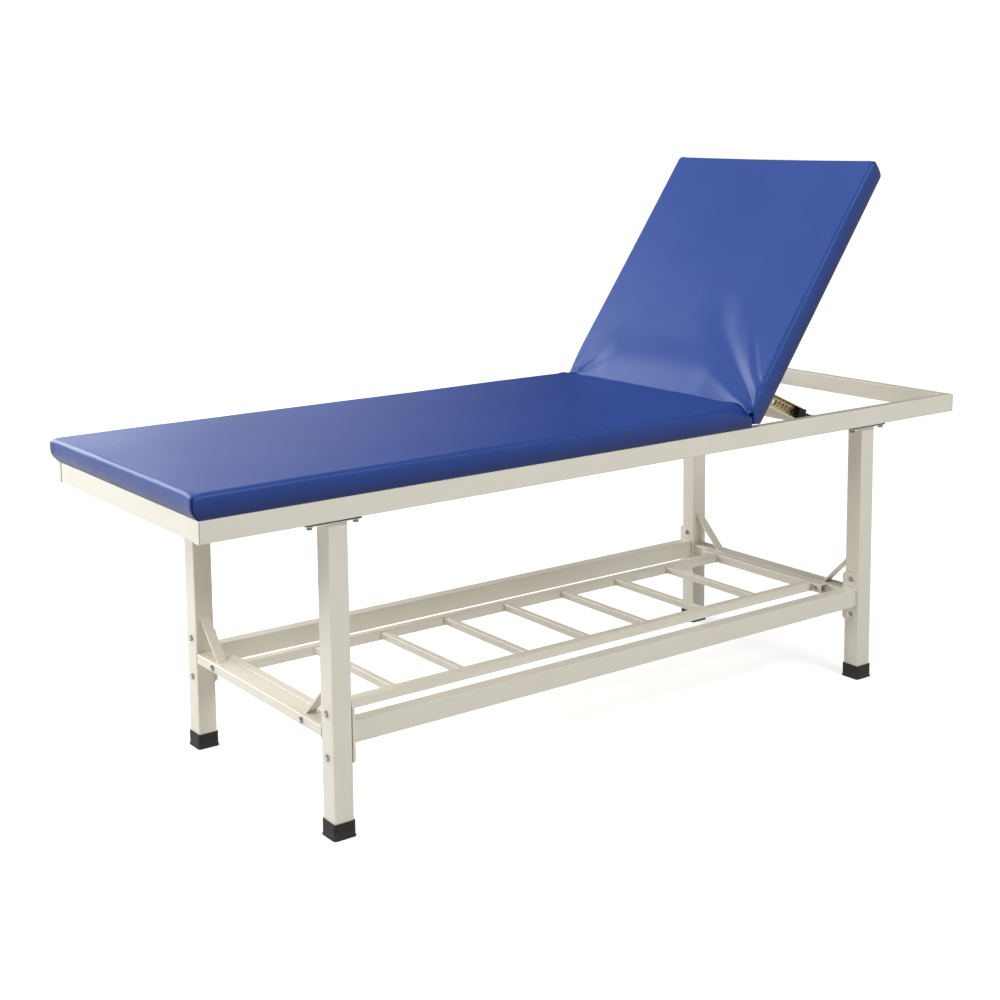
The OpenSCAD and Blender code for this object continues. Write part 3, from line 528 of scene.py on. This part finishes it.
def add_floor():
    """Floor that shows white to the camera and keeps the object's shadow."""
    material, tree, shader, add = node_material("floor")
    socket(shader, Base_Color=(FLOOR_GREY, FLOOR_GREY, FLOOR_GREY, 1.0), Roughness=0.9,
           Specular_IOR_Level=0.1)
    rays = add("ShaderNodeLightPath").outputs
    seen = greater(add, rays["Is Camera Ray"], rays["Is Glossy Ray"])
    seen = greater(add, seen, rays["Is Transmission Ray"])
    place = add("ShaderNodeTexCoord").outputs["Object"]
    away = add("ShaderNodeVectorMath", {0: place}, operation="LENGTH").outputs["Value"]
    level = map_range(add, away, FLOOR_RING, (FLOOR_LIFT, 1.0))
    lift = add("ShaderNodeMath", {0: seen, 1: level}, operation="MULTIPLY").outputs[0]
    glow = add("ShaderNodeEmission", {"Color": WHITE, "Strength": lift})
    both = add("ShaderNodeAddShader", {0: shader.outputs[0], 1: glow.outputs[0]})
    tree.links.new(both.outputs[0], tree.nodes["Material Output"].inputs["Surface"])
    size = FLOOR_SIZE
    corners = [(-size, -size, 0), (size, -size, 0), (size, size, 0), (-size, size, 0)]
    mesh_object("floor", corners, [(0, 1, 2, 3)], material, False)


def add_world():
    """World that shows white to the camera, is dimmer overhead in the gloss and lights softly."""
    world = bpy.data.worlds.new("world")
    bpy.context.scene.world = world
    world.use_nodes = True
    tree = world.node_tree
    add = adder(tree)
    rays = add("ShaderNodeLightPath").outputs
    seen = greater(add, rays["Is Camera Ray"], rays["Is Transmission Ray"])
    shown = greater(add, seen, rays["Is Glossy Ray"])
    place = add("ShaderNodeTexCoord").outputs["Generated"]
    height = add("ShaderNodeSeparateXYZ", {"Vector": place}).outputs["Z"]
    white = greater(add, map_range(add, height, CEILING_RISE, (1.0, CEILING)), seen)
    level = map_range(add, shown, (0.0, 1.0), (WORLD_LIGHT, white))
    background = tree.nodes["Background"]
    background.inputs["Color"].default_value = WHITE
    tree.links.new(level, background.inputs["Strength"])


def add_lamps():
    """Soft square lamps: a key from the foot end, one high on the near side, one above, a rim lamp
    beyond the far side at the foot end, and a small low one for the sheen."""
    for name, place, aim, size, power in LAMPS:
        data = bpy.data.lights.new(name, "AREA")
        data.shape = "SQUARE"
        data.size = size
        data.energy = power
        lamp = bpy.data.objects.new(name, data)
        ahead = (Vector(aim) - Vector(place)).normalized()
        lamp.rotation_euler = ahead.to_track_quat("-Z", "Y").to_euler()
        lamp.location = place
        bpy.context.scene.collection.objects.link(lamp)


def seat_place(x, y, z):
    """Millimetres in the seat's plane, as metres on the table."""
    return np.stack([(HINGE_X - x) * MM, y * MM, (HINGE_Z + z) * MM], axis=-1)


def back_place(x, y, z):
    """Millimetres in the raised back's plane, as metres on the table."""
    cos, sin = math.cos(TILT), math.sin(TILT)
    return np.stack([(HINGE_X + x * cos - z * sin) * MM, y * MM,
                     (HINGE_Z + x * sin + z * cos) * MM], axis=-1)


def table_place(x, y, z):
    """Millimetres from the floor under the middle of the steel frame, as metres on the table."""
    return np.stack([(x + FRAME_SHIFT) * MM, y * MM, z * MM], axis=-1)


def smooth(t):
    """Soft step from 0 to 1."""
    t = np.clip(t, 0.0, 1.0)
    return t * t * (3 - 2 * t)


def level_out(t):
    """Rise from 0 to 1 that ends level."""
    return np.sin(np.clip(t, 0.0, 1.0) * np.pi / 2)


def closeness(end, side, reach):
    """Closeness to a corner, from the insets to its two edges."""
    end, side = np.clip(end, 0, None), np.clip(side, 0, None)
    return np.exp(-((end / reach[0]) ** 2 + (side / reach[1]) ** 2))


def height_share(z):
    """Height as a share of a side below its rounding."""
    return np.clip((z - PAD_LOW) / (SHOULDER - PAD_LOW), 0.0, 1.0)


def swell(share):
    """How far a side has come out at this share of its height."""
    return level_out(share / SWELL_SHARE)


def end_swell(share, back):
    """The same for the far end, which is nearly straight on the back."""
    return share ** BACK_END_POWER if back else swell(share)


def edge_lines(edge):
    """Insets of the grid lines beside an edge whose rounding is this wide."""
    turned = [edge * (1 - math.cos(math.radians(a))) for a in EDGE_ANGLES]
    return turned + [edge + d for d in NEAR_EDGE]


def grid_lines(length, first_edge, last_edge, step):
    """Grid lines over a length: fine beside both edges and even between them."""
    first = edge_lines(first_edge)
    last = edge_lines(last_edge)
    start, end = first[-1], length - last[-1]
    count = max(2, round((end - start) / step))
    middle = [start + (end - start) * i / count for i in range(1, count)]
    return np.array(first + middle + [length - d for d in reversed(last)])


def lean(height):
    """How far the joint between the covers leans over the seat at this height above the hinge."""
    return LEAN * smooth((height - LEAN_FROM) / (PAD_TOP - LEAN_FROM))


def hinge_end(z, back):
    """Where a cover ends beside the hinge at this height."""
    if not back:
        return SEAT_GAP + lean(z)
    cos, sin = math.cos(TILT), math.sin(TILT)
    end = (z * sin - LEAN_GAP) / cos
    for _ in range(LEAN_STEPS):
        end = 0.5 * end + 0.5 * (z * sin - LEAN_GAP - lean(end * sin + z * cos)) / cos
    heel = HEEL_X - HEEL_RUN * smooth((z - HEEL_Z[0]) / (HEEL_Z[1] - HEEL_Z[0]))
    return np.maximum(heel, end)


def round_corner(dx, dy, radius):
    """Rounds the corner of every ring of a grid, from the insets to its two edges."""
    ring = np.minimum(dx, dy)
    ex = np.clip(radius - (dx - ring), 0.0, None)
    ey = np.clip(radius - (dy - ring), 0.0, None)
    length = np.sqrt(ex * ex + ey * ey)
    turned = (ex > 0) & (ey > 0)
    length = np.where(length > 0, length, 1.0)
    new_dx = np.where(turned, ring + radius - radius * ex / length, dx)
    new_dy = np.where(turned, ring + radius - radius * ey / length, dy)
    return new_dx, new_dy


def cover_top(length, back, lines_x, lines_y, spans):
    """Points of a cover's gridded top: rounded over at the edges, crowned between them."""
    span_x, span_y = spans
    nx, ny = len(lines_x), len(lines_y)
    ix, iy = np.meshgrid(np.arange(nx), np.arange(ny), indexing="ij")
    ring = np.minimum(np.minimum(ix, nx - 1 - ix), np.minimum(iy, ny - 1 - iy))
    angles = np.radians(np.array(EDGE_ANGLES))
    turned = np.sin(angles[np.minimum(ring, len(angles) - 1)])
    z = SHOULDER + EDGE_R * np.where(ring < len(angles), turned, 1.0)
    x_in, y_in = lines_x[ix], lines_y[iy]
    dx = np.minimum(x_in, span_x - x_in)
    dy = np.minimum(y_in, span_y - y_in)
    fade = np.clip(1 - np.minimum(dx, dy) / CORNER_FADE, 0.0, 1.0)
    rx, ry = round_corner(dx, dy, CORNER_R * fade)
    x_in = np.where(x_in < span_x / 2, rx, span_x - rx)
    y_in = np.where(y_in < span_y / 2, ry, span_y - ry)
    start = hinge_end(z, back)
    x = start + x_in * (length + OVER_END - start) / span_x
    z = z + CROWN * (level_out(dx / CROWN_RUN) * level_out(dy / CROWN_RUN))
    return np.stack([x, y_in - span_y / 2, z], axis=-1).reshape(-1, 3)


def grid_border(nx, ny):
    """Index pairs once round the border of a grid."""
    there = [(i, 0) for i in range(nx)] + [(nx - 1, j) for j in range(1, ny)]
    back = [(i, ny - 1) for i in range(nx - 2, -1, -1)] + [(0, j) for j in range(ny - 2, 0, -1)]
    return np.array(there + back)


def ring_insets(loop, lines, middle, length):
    """Insets of a ring's points from the nearer end of its length."""
    spread = (loop - lines[0]) / (lines[-1] - lines[0]) * length
    own = np.minimum(loop - lines[0], lines[-1] - loop)
    return np.where(own < FIXED_RUN, own, np.where(loop < middle, spread, length - spread))


def cover_grid(length, back, step):
    """Points and faces of a cover: gridded top, rings down the sides, the board's pocket below."""
    span_x = length + OVER_END - float(hinge_end(np.array([PAD_TOP]), back)[0])
    span_y = 2 * (HALF_W + OVER_SIDE)
    lines_x = grid_lines(span_x, HINGE_EDGE, EDGE_R, step)
    lines_y = grid_lines(span_y, EDGE_R, EDGE_R, step)
    nx, ny = len(lines_x), len(lines_y)
    border = grid_border(nx, ny)
    loop_x, loop_y = lines_x[border[:, 0]], lines_y[border[:, 1]]

    def ring(height, end_over, side_over, hinge_in, radius):
        """Points of one ring, this far beyond the board at the end and at the sides."""
        start = float(hinge_end(np.array([height]), back)[0]) + hinge_in
        long_x = length + end_over - start
        long_y = 2 * (HALF_W + side_over)
        dx = ring_insets(loop_x, lines_x, span_x / 2, long_x)
        dy = ring_insets(loop_y, lines_y, span_y / 2, long_y)
        dx, dy = round_corner(dx, dy, np.full_like(dx, radius))
        x = np.where(loop_x < span_x / 2, start + dx, start + long_x - dx)
        y = np.where(loop_y < span_y / 2, dy - long_y / 2, long_y / 2 - dy)
        return np.stack([x, y, np.full_like(x, height)], axis=1)

    rings = []
    for angle in reversed(SIDE_ANGLES):
        a = math.radians(angle)
        inset = EDGE_R * (1 - math.cos(a))
        rings.append(ring(SHOULDER + EDGE_R * math.sin(a), OVER_END - inset, OVER_SIDE - inset,
                          HINGE_EDGE * (1 - math.cos(a)), CORNER_R))
    for share in reversed(SIDE_ROWS):
        rings.append(ring(PAD_LOW + (SHOULDER - PAD_LOW) * share, OVER_END * end_swell(share, back),
                          OVER_SIDE * swell(share), 0.0, CORNER_R))
    for height in (PAD_LOW, POCKET_Z):
        pocket = ring(PAD_LOW, -WRAP, -WRAP, WRAP, POCKET_R)
        pocket[:, 2] = height
        rings.append(pocket)

    faces = []
    for i in range(nx - 1):
        for j in range(ny - 1):
            a = i * ny + j
            faces.append((a, a + ny, a + ny + 1, a + 1))
    count = len(border)
    above = [int(i * ny + j) for i, j in border]
    for k in range(len(rings)):
        here = [nx * ny + k * count + n for n in range(count)]
        for n in range(count):
            m = (n + 1) % count
            faces.append((above[n], here[n], here[m], above[m]))
        above = here
    faces.append(tuple(reversed(above)))
    top = cover_top(length, back, lines_x, lines_y, (span_x, span_y))
    return np.concatenate([top] + rings), faces


def draw_in(points, length):
    """Pulls the sides and the far end in between the corners."""
    x, y, z = points[:, 0], points[:, 1], points[:, 2]
    height = np.clip((z - PAD_LOW) / DRAW_HIGH, 0.0, 1.0)
    u = np.clip(x / length, 0.0, 1.0)
    v = np.clip((y + HALF_W) / (2 * HALF_W), 0.0, 1.0)
    side = np.clip((np.abs(y) - (HALF_W - DRAW_ZONE)) / DRAW_ZONE, 0.0, 1.0)
    end = np.clip((x - length + DRAW_ZONE) / DRAW_ZONE, 0.0, 1.0)
    y -= np.sign(y) * DRAW * 4 * u * (1 - u) * height * side
    x -= DRAW * 4 * v * (1 - v) * height * end


def wander(points, size, seed):
    """Slow unevenness at each point, from -1 to 1."""
    return np.array([noise.noise(Vector((p[0] / size + seed, p[1] / size, p[2] / size)))
                     for p in points])


def waves(points, size, seed):
    """The same, upright: it doesn't change with height."""
    return np.array([noise.noise(Vector((p[0] / size, p[1] / size, seed))) for p in points])


def path_profile(x, y, path, width):
    """Closeness of each point to a path in the pad's plane, and how far along the path it is."""
    path = np.array(path, dtype=float)
    legs = np.sqrt(((path[1:] - path[:-1]) ** 2).sum(axis=1))
    runs = np.concatenate([[0.0], np.cumsum(legs)]) / legs.sum()
    best = np.full(len(x), np.inf)
    along = np.zeros(len(x))
    for k in range(len(legs)):
        a, b = path[k], path[k + 1]
        step = (b - a) / legs[k]
        t = np.clip((x - a[0]) * step[0] + (y - a[1]) * step[1], 0.0, legs[k])
        gap = np.sqrt((x - a[0] - t * step[0]) ** 2 + (y - a[1] - t * step[1]) ** 2)
        nearer = gap < best
        best = np.where(nearer, gap, best)
        along = np.where(nearer, runs[k] + (runs[k + 1] - runs[k]) * t / legs[k], along)
    wide = width[0] + (width[1] - width[0]) * along
    return np.exp(-(best / wide) ** 2), along


def crease(points):
    """Ridges and valleys that fan out from the lower corners of the back cover."""
    x, y, z = points[:, 0], points[:, 1], points[:, 2]
    rise = np.zeros(len(points))
    for path, height, width in CREASES:
        near, along = path_profile(x, y, path, width)
        rise += near * (height[0] + (height[1] - height[0]) * along)
    z += np.where(z > PAD_TOP - CREASE_IN, rise, 0.0)


def tuck_corners(points, back):
    """Draws the corners beside the hinge down, where the covers press on each other. The back's
    near corner comes forward as a lip, and the seat's far corner bulges a little."""
    x, y, z = points[:, 0], points[:, 1], points[:, 2]
    end = x - hinge_end(np.minimum(z, PAD_TOP), back)
    side = HALF_W + OVER_SIDE - np.abs(y)
    if back:
        deep, reach = BACK_DIP, BACK_DIP_REACH
        high = smooth((z - LIP_FROM) / (PAD_TOP - LIP_FROM))
        x -= np.where(y < 0, LIP * closeness(end, side, LIP_REACH) * high, 0.0)
        y -= np.where(y > 0, PULL * closeness(end, side, PULL_REACH), 0.0)
    else:
        deep, reach = np.where(y < 0, NEAR_DIP, FAR_DIP), SEAT_DIP_REACH
        bulge = BULGE * np.exp(-((end - BULGE_PLACE[0]) / BULGE_REACH[0]) ** 2
                               - ((side - BULGE_PLACE[1]) / BULGE_REACH[1]) ** 2)
        z += np.where((z > PAD_TOP - TOP_MARGIN) & (y > 0), bulge, 0.0)
    high = np.clip((z - TUCK_FROM) / (PAD_TOP - TUCK_FROM), 0.0, 1.0)
    z -= deep * closeness(end, side, reach) * high


def drop_corners(points, length):
    """Lets the top sink a little at the outer corners, where the cover is pulled down."""
    x, y, z = points[:, 0], points[:, 1], points[:, 2]
    near = closeness(length + OVER_END - x, HALF_W + OVER_SIDE - np.abs(y), DROP_REACH)
    high = np.clip((z - (PAD_TOP - DROP_HIGH)) / DROP_HIGH, 0.0, 1.0)
    z -= np.where(y < 0, NEAR_DROP, FAR_DROP) * near * high


def groove_corners(points, length):
    """Groove of the sewn seam down each outer corner, and the flap of cover that ends at it."""
    x, y, z = points[:, 0], points[:, 1], points[:, 2]
    corner_y = HALF_W + OVER_SIDE
    out = swell(height_share(z))
    edge_x = length + OVER_END - OVER_END * (1 - out)
    edge_y = corner_y - OVER_SIDE * (1 - out)
    end, side = edge_x - x, edge_y - np.abs(y)
    close = (end < GROOVE_ZONE) & (side < GROOVE_ZONE)
    wall = (z < PAD_TOP - TOP_MARGIN) & (z > PAD_LOW + 1.0)
    profile = GROOVE * np.exp(-(np.abs(end - side) / GROOVE_WIDE) ** 2)
    depth = np.where(close & wall, profile, 0.0)
    x -= depth * GROOVE_SHARE
    y -= np.sign(y) * depth * GROOVE_SHARE
    over = (np.abs(y) > corner_y - FLAP_WIDE) & (edge_x - x < FLAP_IN) & (z < PAD_TOP - FLAP_IN)
    flap = np.where(over, FLAP * smooth((np.abs(y) - corner_y + FLAP_WIDE) / FLAP_RISE), 0.0)
    x += flap * np.clip((z - PAD_LOW) / FLAP_LOW, 0.0, 1.0)


def pucker(points, length):
    """Small vertical waves low on the sides, where the cover is stapled under the board."""
    x, y, z = points[:, 0], points[:, 1], points[:, 2]
    wall = (z < PAD_TOP - PUCKER_IN) & (z > PAD_LOW + 0.5)
    side = (np.abs(y) > HALF_W - PUCKER_IN) & wall
    end = (x > length - PUCKER_IN) & wall
    low = np.clip(1 - (z - PAD_LOW) / PUCKER_HIGH, 0.0, 1.0)
    ripple = PUCKER * waves(points, *PUCKER_SMALL) * low + PUCKER * waves(points, *PUCKER_BROAD)
    y += np.where(side, np.sign(y) * ripple, 0.0)
    x += np.where(end, ripple, 0.0)


def make_cover(name, length, back, place, step, material):
    """Cover of one pad, with painted shade low on its sides as a point attribute."""
    points, faces = cover_grid(length, back, step)
    draw_in(points, length)
    groove_corners(points, length)
    pucker(points, length)
    tuck_corners(points, back)
    if back:
        crease(points)
    drop_corners(points, length)
    lift = UNEVEN * wander(points, UNEVEN_SIZE, BACK_SEED if back else SEAT_SEED)
    lift += UNEVEN_FINE * wander(points, UNEVEN_FINE_SIZE, UNEVEN_FINE_SEED)
    x, y, z = points[:, 0], points[:, 1], points[:, 2]
    z += np.where(z > PAD_TOP - 1.0, lift, 0.0)
    if not back:
        faces = [tuple(reversed(f)) for f in faces]
    piece = mesh_object(name, place(x, y, z), faces, material)
    shade = piece.data.attributes.new("edge_shade", "FLOAT", "POINT")
    shade.data.foreach_set("value", smooth((SHADE_TOP - z) / SHADE_RUN))
    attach(piece, "backrest" if back else "frame")
    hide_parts("back_pad" if back else "seat_pad")


def make_fold(material):
    """Loose strip of cover in the joint, folded away as it lies at rest."""
    width = 2 * (HALF_W - FOLD_IN)
    lanes = grid_lines(width, FOLD_EDGE, FOLD_EDGE, FOLD_STEP)
    thick = SEAT_GAP - LEAN_GAP - 2 * FOLD_GAP
    points = []
    for k in range(FOLD_LAYERS):
        x = -SEAT_GAP + FOLD_GAP + thick * (k / (FOLD_LAYERS - 1))
        for lane in lanes:
            y = lane - HALF_W + FOLD_IN
            side = min(lane, width - lane)
            drop = FOLD_NEAR_DROP if lane < HALF_W else FOLD_FAR_DROP
            top = FOLD_TOP - drop * math.exp(-(side / FOLD_DROP_WIDE) ** 2)
            for r in range(FOLD_ROWS):
                rise = 1 - (1 - r / (FOLD_ROWS - 1)) ** FOLD_POWER
                z = FOLD_LOW + (top - FOLD_LOW) * rise
                points.append(((HINGE_X + x - float(lean(z))) * MM, y * MM, (HINGE_Z + z) * MM))

    faces = []
    up, across, over = 1, FOLD_ROWS, len(lanes) * FOLD_ROWS

    def quad(k, j, r, first, second):
        """Face from the point in this layer, lane and row, along two steps between points."""
        p = k * over + j * across + r * up
        faces.append((p, p + first, p + first + second, p + second))

    layer, lane, row = FOLD_LAYERS - 1, len(lanes) - 1, FOLD_ROWS - 1
    for j in range(lane):
        for r in range(row):
            quad(0, j, r, up, across)
            quad(layer, j, r, across, up)
    for k in range(layer):
        for j in range(lane):
            quad(k, j, row, over, across)
            quad(k, j, 0, across, over)
        for r in range(row):
            quad(k, 0, r, over, up)
            quad(k, lane, r, up, over)
    piece = mesh_object("pad_fold", points, faces, material)
    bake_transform(piece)


def tube_mesh(path, radius, sides=6, closed=False):
    """Points and faces of a round bar along a path; the radius is one value or one per point."""
    path = np.array(path, dtype=float)
    count = len(path)
    radius = np.broadcast_to(radius, (count,))
    ahead = np.roll(path, -1, axis=0) - np.roll(path, 1, axis=0)
    if not closed:
        ahead[0], ahead[-1] = path[1] - path[0], path[-1] - path[-2]
    ahead /= np.linalg.norm(ahead, axis=1)[:, None]
    points, faces = [], []
    for k in range(count):
        across = np.cross(ahead[k], (0.0, 0.0, 1.0) if abs(ahead[k][2]) < 0.9 else (1.0, 0.0, 0.0))
        across /= np.linalg.norm(across)
        up = np.cross(across, ahead[k])
        for i in range(sides):
            a = 2 * math.pi * i / sides
            points.append(path[k] + radius[k] * (across * math.cos(a) + up * math.sin(a)))
    for k in range(count if closed else count - 1):
        m = (k + 1) % count
        for i in range(sides):
            j = (i + 1) % sides
            faces.append((k * sides + i, k * sides + j, m * sides + j, m * sides + i))
    if not closed:
        faces.append(tuple(reversed(range(sides))))
        faces.append(tuple(range((count - 1) * sides, count * sides)))
    return points, faces


def box_mesh(low, high):
    """Points and faces of a box between two corners."""
    (x0, y0, z0), (x1, y1, z1) = low, high
    points = [(x, y, z) for z in (z0, z1) for y in (y0, y1) for x in (x0, x1)]
    faces = [(0, 2, 3, 1), (4, 5, 7, 6), (0, 1, 5, 4), (2, 6, 7, 3), (0, 4, 6, 2), (1, 3, 7, 5)]
    return points, faces


def dome(centre, radius, height, sides=14, rows=4):
    """Pan head pointing down from its seat."""
    points, faces = [], []
    for k in range(rows):
        a = math.pi / 2 * k / rows
        for i in range(sides):
            b = 2 * math.pi * i / sides
            points.append((centre[0] + radius * math.cos(a) * math.cos(b),
                           centre[1] + radius * math.cos(a) * math.sin(b),
                           centre[2] - height * math.sin(a)))
    points.append((centre[0], centre[1], centre[2] - height))
    for k in range(rows - 1):
        for i in range(sides):
            j = (i + 1) % sides
            faces.append((k * sides + i, (k + 1) * sides + i, (k + 1) * sides + j, k * sides + j))
    last = (rows - 1) * sides
    for i in range(sides):
        faces.append((last + i, rows * sides, last + (i + 1) % sides))
    faces.append(tuple(range(sides)))
    return points, faces


def gather(pieces):
    """Joins (points, faces) pieces into one."""
    points, faces = [], []
    for more, sides in pieces:
        faces += [tuple(v + len(points) for v in face) for face in sides]
        points += [tuple(p) for p in more]
    return np.array(points, dtype=float), faces


def add_trim(name, pieces, place, body, material, smooth_shade=True):
    """Small pieces of one finish on one body, drawn in millimetres and put in place."""
    points, faces = gather(pieces)
    placed = place(points[:, 0], points[:, 1], points[:, 2])
    piece = mesh_object(name, placed, faces, material, smooth_shade)
    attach(piece, body)


def mirrored(point, sx, sy):
    """The same point in another quarter of the frame."""
    return sx * point[0], sy * point[1], point[2]


def weld_loop(centre, axes, half, corner):
    """Closed bead round the end of a tube, in the plane of two axes."""
    ring = []
    for su, sv, start in ((1, 1, 0), (-1, 1, 90), (-1, -1, 180), (1, -1, 270)):
        for a in (start, start + 45, start + 90):
            ring.append((su * (half[0] - corner) + corner * math.cos(math.radians(a)),
                         sv * (half[1] - corner) + corner * math.sin(math.radians(a))))
    ring.append(ring[0])
    points = []
    for (u0, v0), (u1, v1) in zip(ring[:-1], ring[1:]):
        steps = max(1, round(math.hypot(u1 - u0, v1 - v0) / BEAD_STEP))
        for i in range(steps):
            point = np.array(centre, dtype=float)
            point[axes[0]] += u0 + (u1 - u0) * i / steps
            point[axes[1]] += v0 + (v1 - v0) * i / steps
            points.append(point)
    radius = [BEAD_R * (1 + BEAD_UNEVEN * noise.noise(Vector(p) / BEAD_GRAIN)) for p in points]
    return tube_mesh(points, radius, closed=True)


def make_welds(material):
    """Weld beads where the tubes of the frame, the rack and the back meet."""
    beads = [weld_loop(mirrored(centre, sx, sy), *shape)
             for sx in (-1, 1) for sy in (-1, 1) for centre, *shape in QUARTER_WELDS]
    beads += [weld_loop(mirrored(centre, 1, sy), *shape)
              for sy in (-1, 1) for centre, *shape in TUBE_WELDS + BAR_WELDS]
    add_trim("weld_beads", beads, table_place, "frame", material)
    centre, *shape = BACK_WELD
    beads = [weld_loop(mirrored(centre, 1, sy), *shape) for sy in (-1, 1)]
    add_trim("back_weld_beads", beads, back_place, "backrest", material)


def line_box(spans, sx, sy):
    """Box between limits along each axis, mirrored into one quarter of the frame."""
    x, y, z = spans
    return box_mesh(*zip(sorted(sx * v for v in x), sorted(sy * v for v in y), z))


def make_joint_and_shade_lines(material):
    """Fine dark lines: joint lines at the ends of the side rails, and painted shade along the leg
    plates under the rails. The near corner at the foot end has none on its end face."""
    lines = []
    for sx in (-1, 1):
        for sy in (-1, 1):
            if (sx, sy) != (-1, -1):
                lines.append(line_box(END_LINE, sx, sy))
            # painted shade under the rail, along the outer face and the ends of the leg plate
            middle = PLATE_X[sx]
            along = (middle - PLATE_REACH, middle + PLATE_REACH)
            lines.append(line_box((along, PLATE_FACE_Y, PLATE_Z), 1, sy))
            for end in (-1, 1):
                stub = (middle + end * PLATE_REACH, middle + end * PLATE_OUT)
                lines.append(line_box((stub, PLATE_Y, PLATE_Z), 1, sy))
            lines.append(line_box(SIDE_LINE, sx, sy))
    add_trim("joint_and_shade_lines", lines, table_place, "frame", material, False)


def corner_seam(length, back, side):
    """Path of the sewn seam down an outer corner of a pad."""
    path = []
    for t in np.linspace(0.0, 1.0, SEAM_POINTS):
        z = PAD_LOW + SEAM_UP + (PAD_TOP - SEAM_SHORT - PAD_LOW) * t
        share = height_share(z)
        over = max(0.0, z - SHOULDER) / EDGE_R
        turned = EDGE_R * (1 - math.sqrt(max(0.0, 1 - over * over)))
        inset = CORNER_R * (1 - math.sqrt(0.5)) + turned * SEAM_TURN
        path.append((length + OVER_END * end_swell(share, back) - inset,
                     side * (HALF_W + OVER_SIDE * swell(share) - inset), z - SEAM_SAG * t))
    return path


def make_seams(name, length, back, place, material):
    """Dark tubes along the seams at the outer corners of one pad: painted shade of the seam's
    groove.
    """
    seams = [tube_mesh(corner_seam(length, back, side), SEAM_R) for side in (-1, 1)]
    add_trim(name, seams, place, "backrest" if back else "frame", material)


def hand_cut(along, lane):
    """Unevenness of an edge cut by hand."""
    return CUT * noise.noise(Vector((along / CUT_SIZE, lane, 0.0)))


def hem_strip(length, start):
    """Cover folded under the board on three sides, with an edge cut by hand."""
    edge_x, edge_y = length - HEM_INSET, HALF_W - HEM_INSET
    in_x, in_y = edge_x - HEM_WIDE, edge_y - HEM_WIDE
    along = np.arange(start, in_x, HEM_STEP)
    across = np.arange(-edge_y + HEM_WIDE + HEM_FIRST, in_y, HEM_STEP)
    outer = [(x, -edge_y) for x in along] + [(edge_x, -edge_y)]
    outer += [(edge_x, y) for y in across]
    outer += [(edge_x, edge_y)] + [(x, edge_y) for x in reversed(along)]
    inner = [(x, hand_cut(x, 1.0) - in_y) for x in along] + [(in_x, -in_y)]
    inner += [(in_x + hand_cut(y, 4.0), y) for y in across]
    inner += [(in_x, in_y)] + [(x, in_y - hand_cut(x, 8.0)) for x in reversed(along)]
    top, low = HEM_Z
    n = len(outer)
    rows = ((outer, top), (inner, top), (outer, low), (inner, low))
    points = [(x, y, z) for row, z in rows for x, y in row]
    faces = []
    for k in range(n - 1):
        m = k + 1
        faces += [(k, m, n + m, n + k), (2 * n + k, 3 * n + k, 3 * n + m, 2 * n + m),
                  (k, 2 * n + k, 2 * n + m, m), (n + k, n + m, 3 * n + m, 3 * n + k)]
    faces += [(0, n, 3 * n, 2 * n), (n - 1, 3 * n - 1, 4 * n - 1, 2 * n - 1)]
    return points, faces


def staples(length, start):
    """Wire staples through the hem, inside the rails."""
    inset = HEM_INSET + HEM_WIDE - STAPLE_IN
    sizes = [(x, side * (HALF_W - inset), STAPLE_HALF, WIRE_HALF) for side in (-1, 1)
             for x in np.arange(start + STAPLE_ENDS[0], length - STAPLE_ENDS[1], STAPLE_STEP)]
    sizes += [(length - inset, y, WIRE_HALF, STAPLE_HALF) for y in END_STAPLES]
    low, top = STAPLE_Z
    return [box_mesh((x - dx, y - dy, low), (x + dx, y + dy, top)) for x, y, dx, dy in sizes]


def make_hem(name, length, start, place, body, cover, metal):
    """Hem and staples under one board."""
    add_trim(name + "_hem", [hem_strip(length, start)], place, body, cover, False)
    add_trim(name + "_staples", staples(length, start), place, body, metal, False)


def make_screws(metal):
    """Screws of the strut brackets, the hinge leaves and the tubes behind the back."""
    screws = [dome(mirrored(place, 1, side), *size) for side in (-1, 1)
              for places, size in ((SMALL_SCREWS, SMALL_SCREW), (TUBE_SCREWS, TUBE_SCREW))
              for place in places]
    add_trim("back_screws", screws, back_place, "backrest", metal)


finishes = make_finishes()
cover, paint, zinc = finishes["cover"], finishes["cream_paint"], finishes["zinc"]
add_camera()
add_floor()
add_world()
add_flag()
add_lamps()
bpy.context.scene.view_settings.view_transform = "Standard"
finish_nodes(finishes)
make_cover("seat_cover", SEAT_L, False, seat_place, SEAT_STEP, cover)
make_cover("back_cover", BACK_L, True, back_place, BACK_STEP, cover)
make_fold(cover)
# the corner seams are dark tubes: painted shade of the seam's groove
seam_line_shade = dark_material("cover_seam_shade", SEAM_SHADE_TONE, 0.7)
make_seams("seat_corner_seams", SEAT_L, False, seat_place, seam_line_shade)
make_seams("back_corner_seams", BACK_L, True, back_place, seam_line_shade)
make_hem("seat", SEAT_L, SEAT_HEM, seat_place, "frame", cover, zinc)
make_hem("back", BACK_L, BACK_HEM, back_place, "backrest", cover, zinc)
make_screws(zinc)
make_welds(paint)
make_joint_and_shade_lines(dark_material("joint_and_shade_line", JOINT_AND_SHADE_TONE, 0.7))
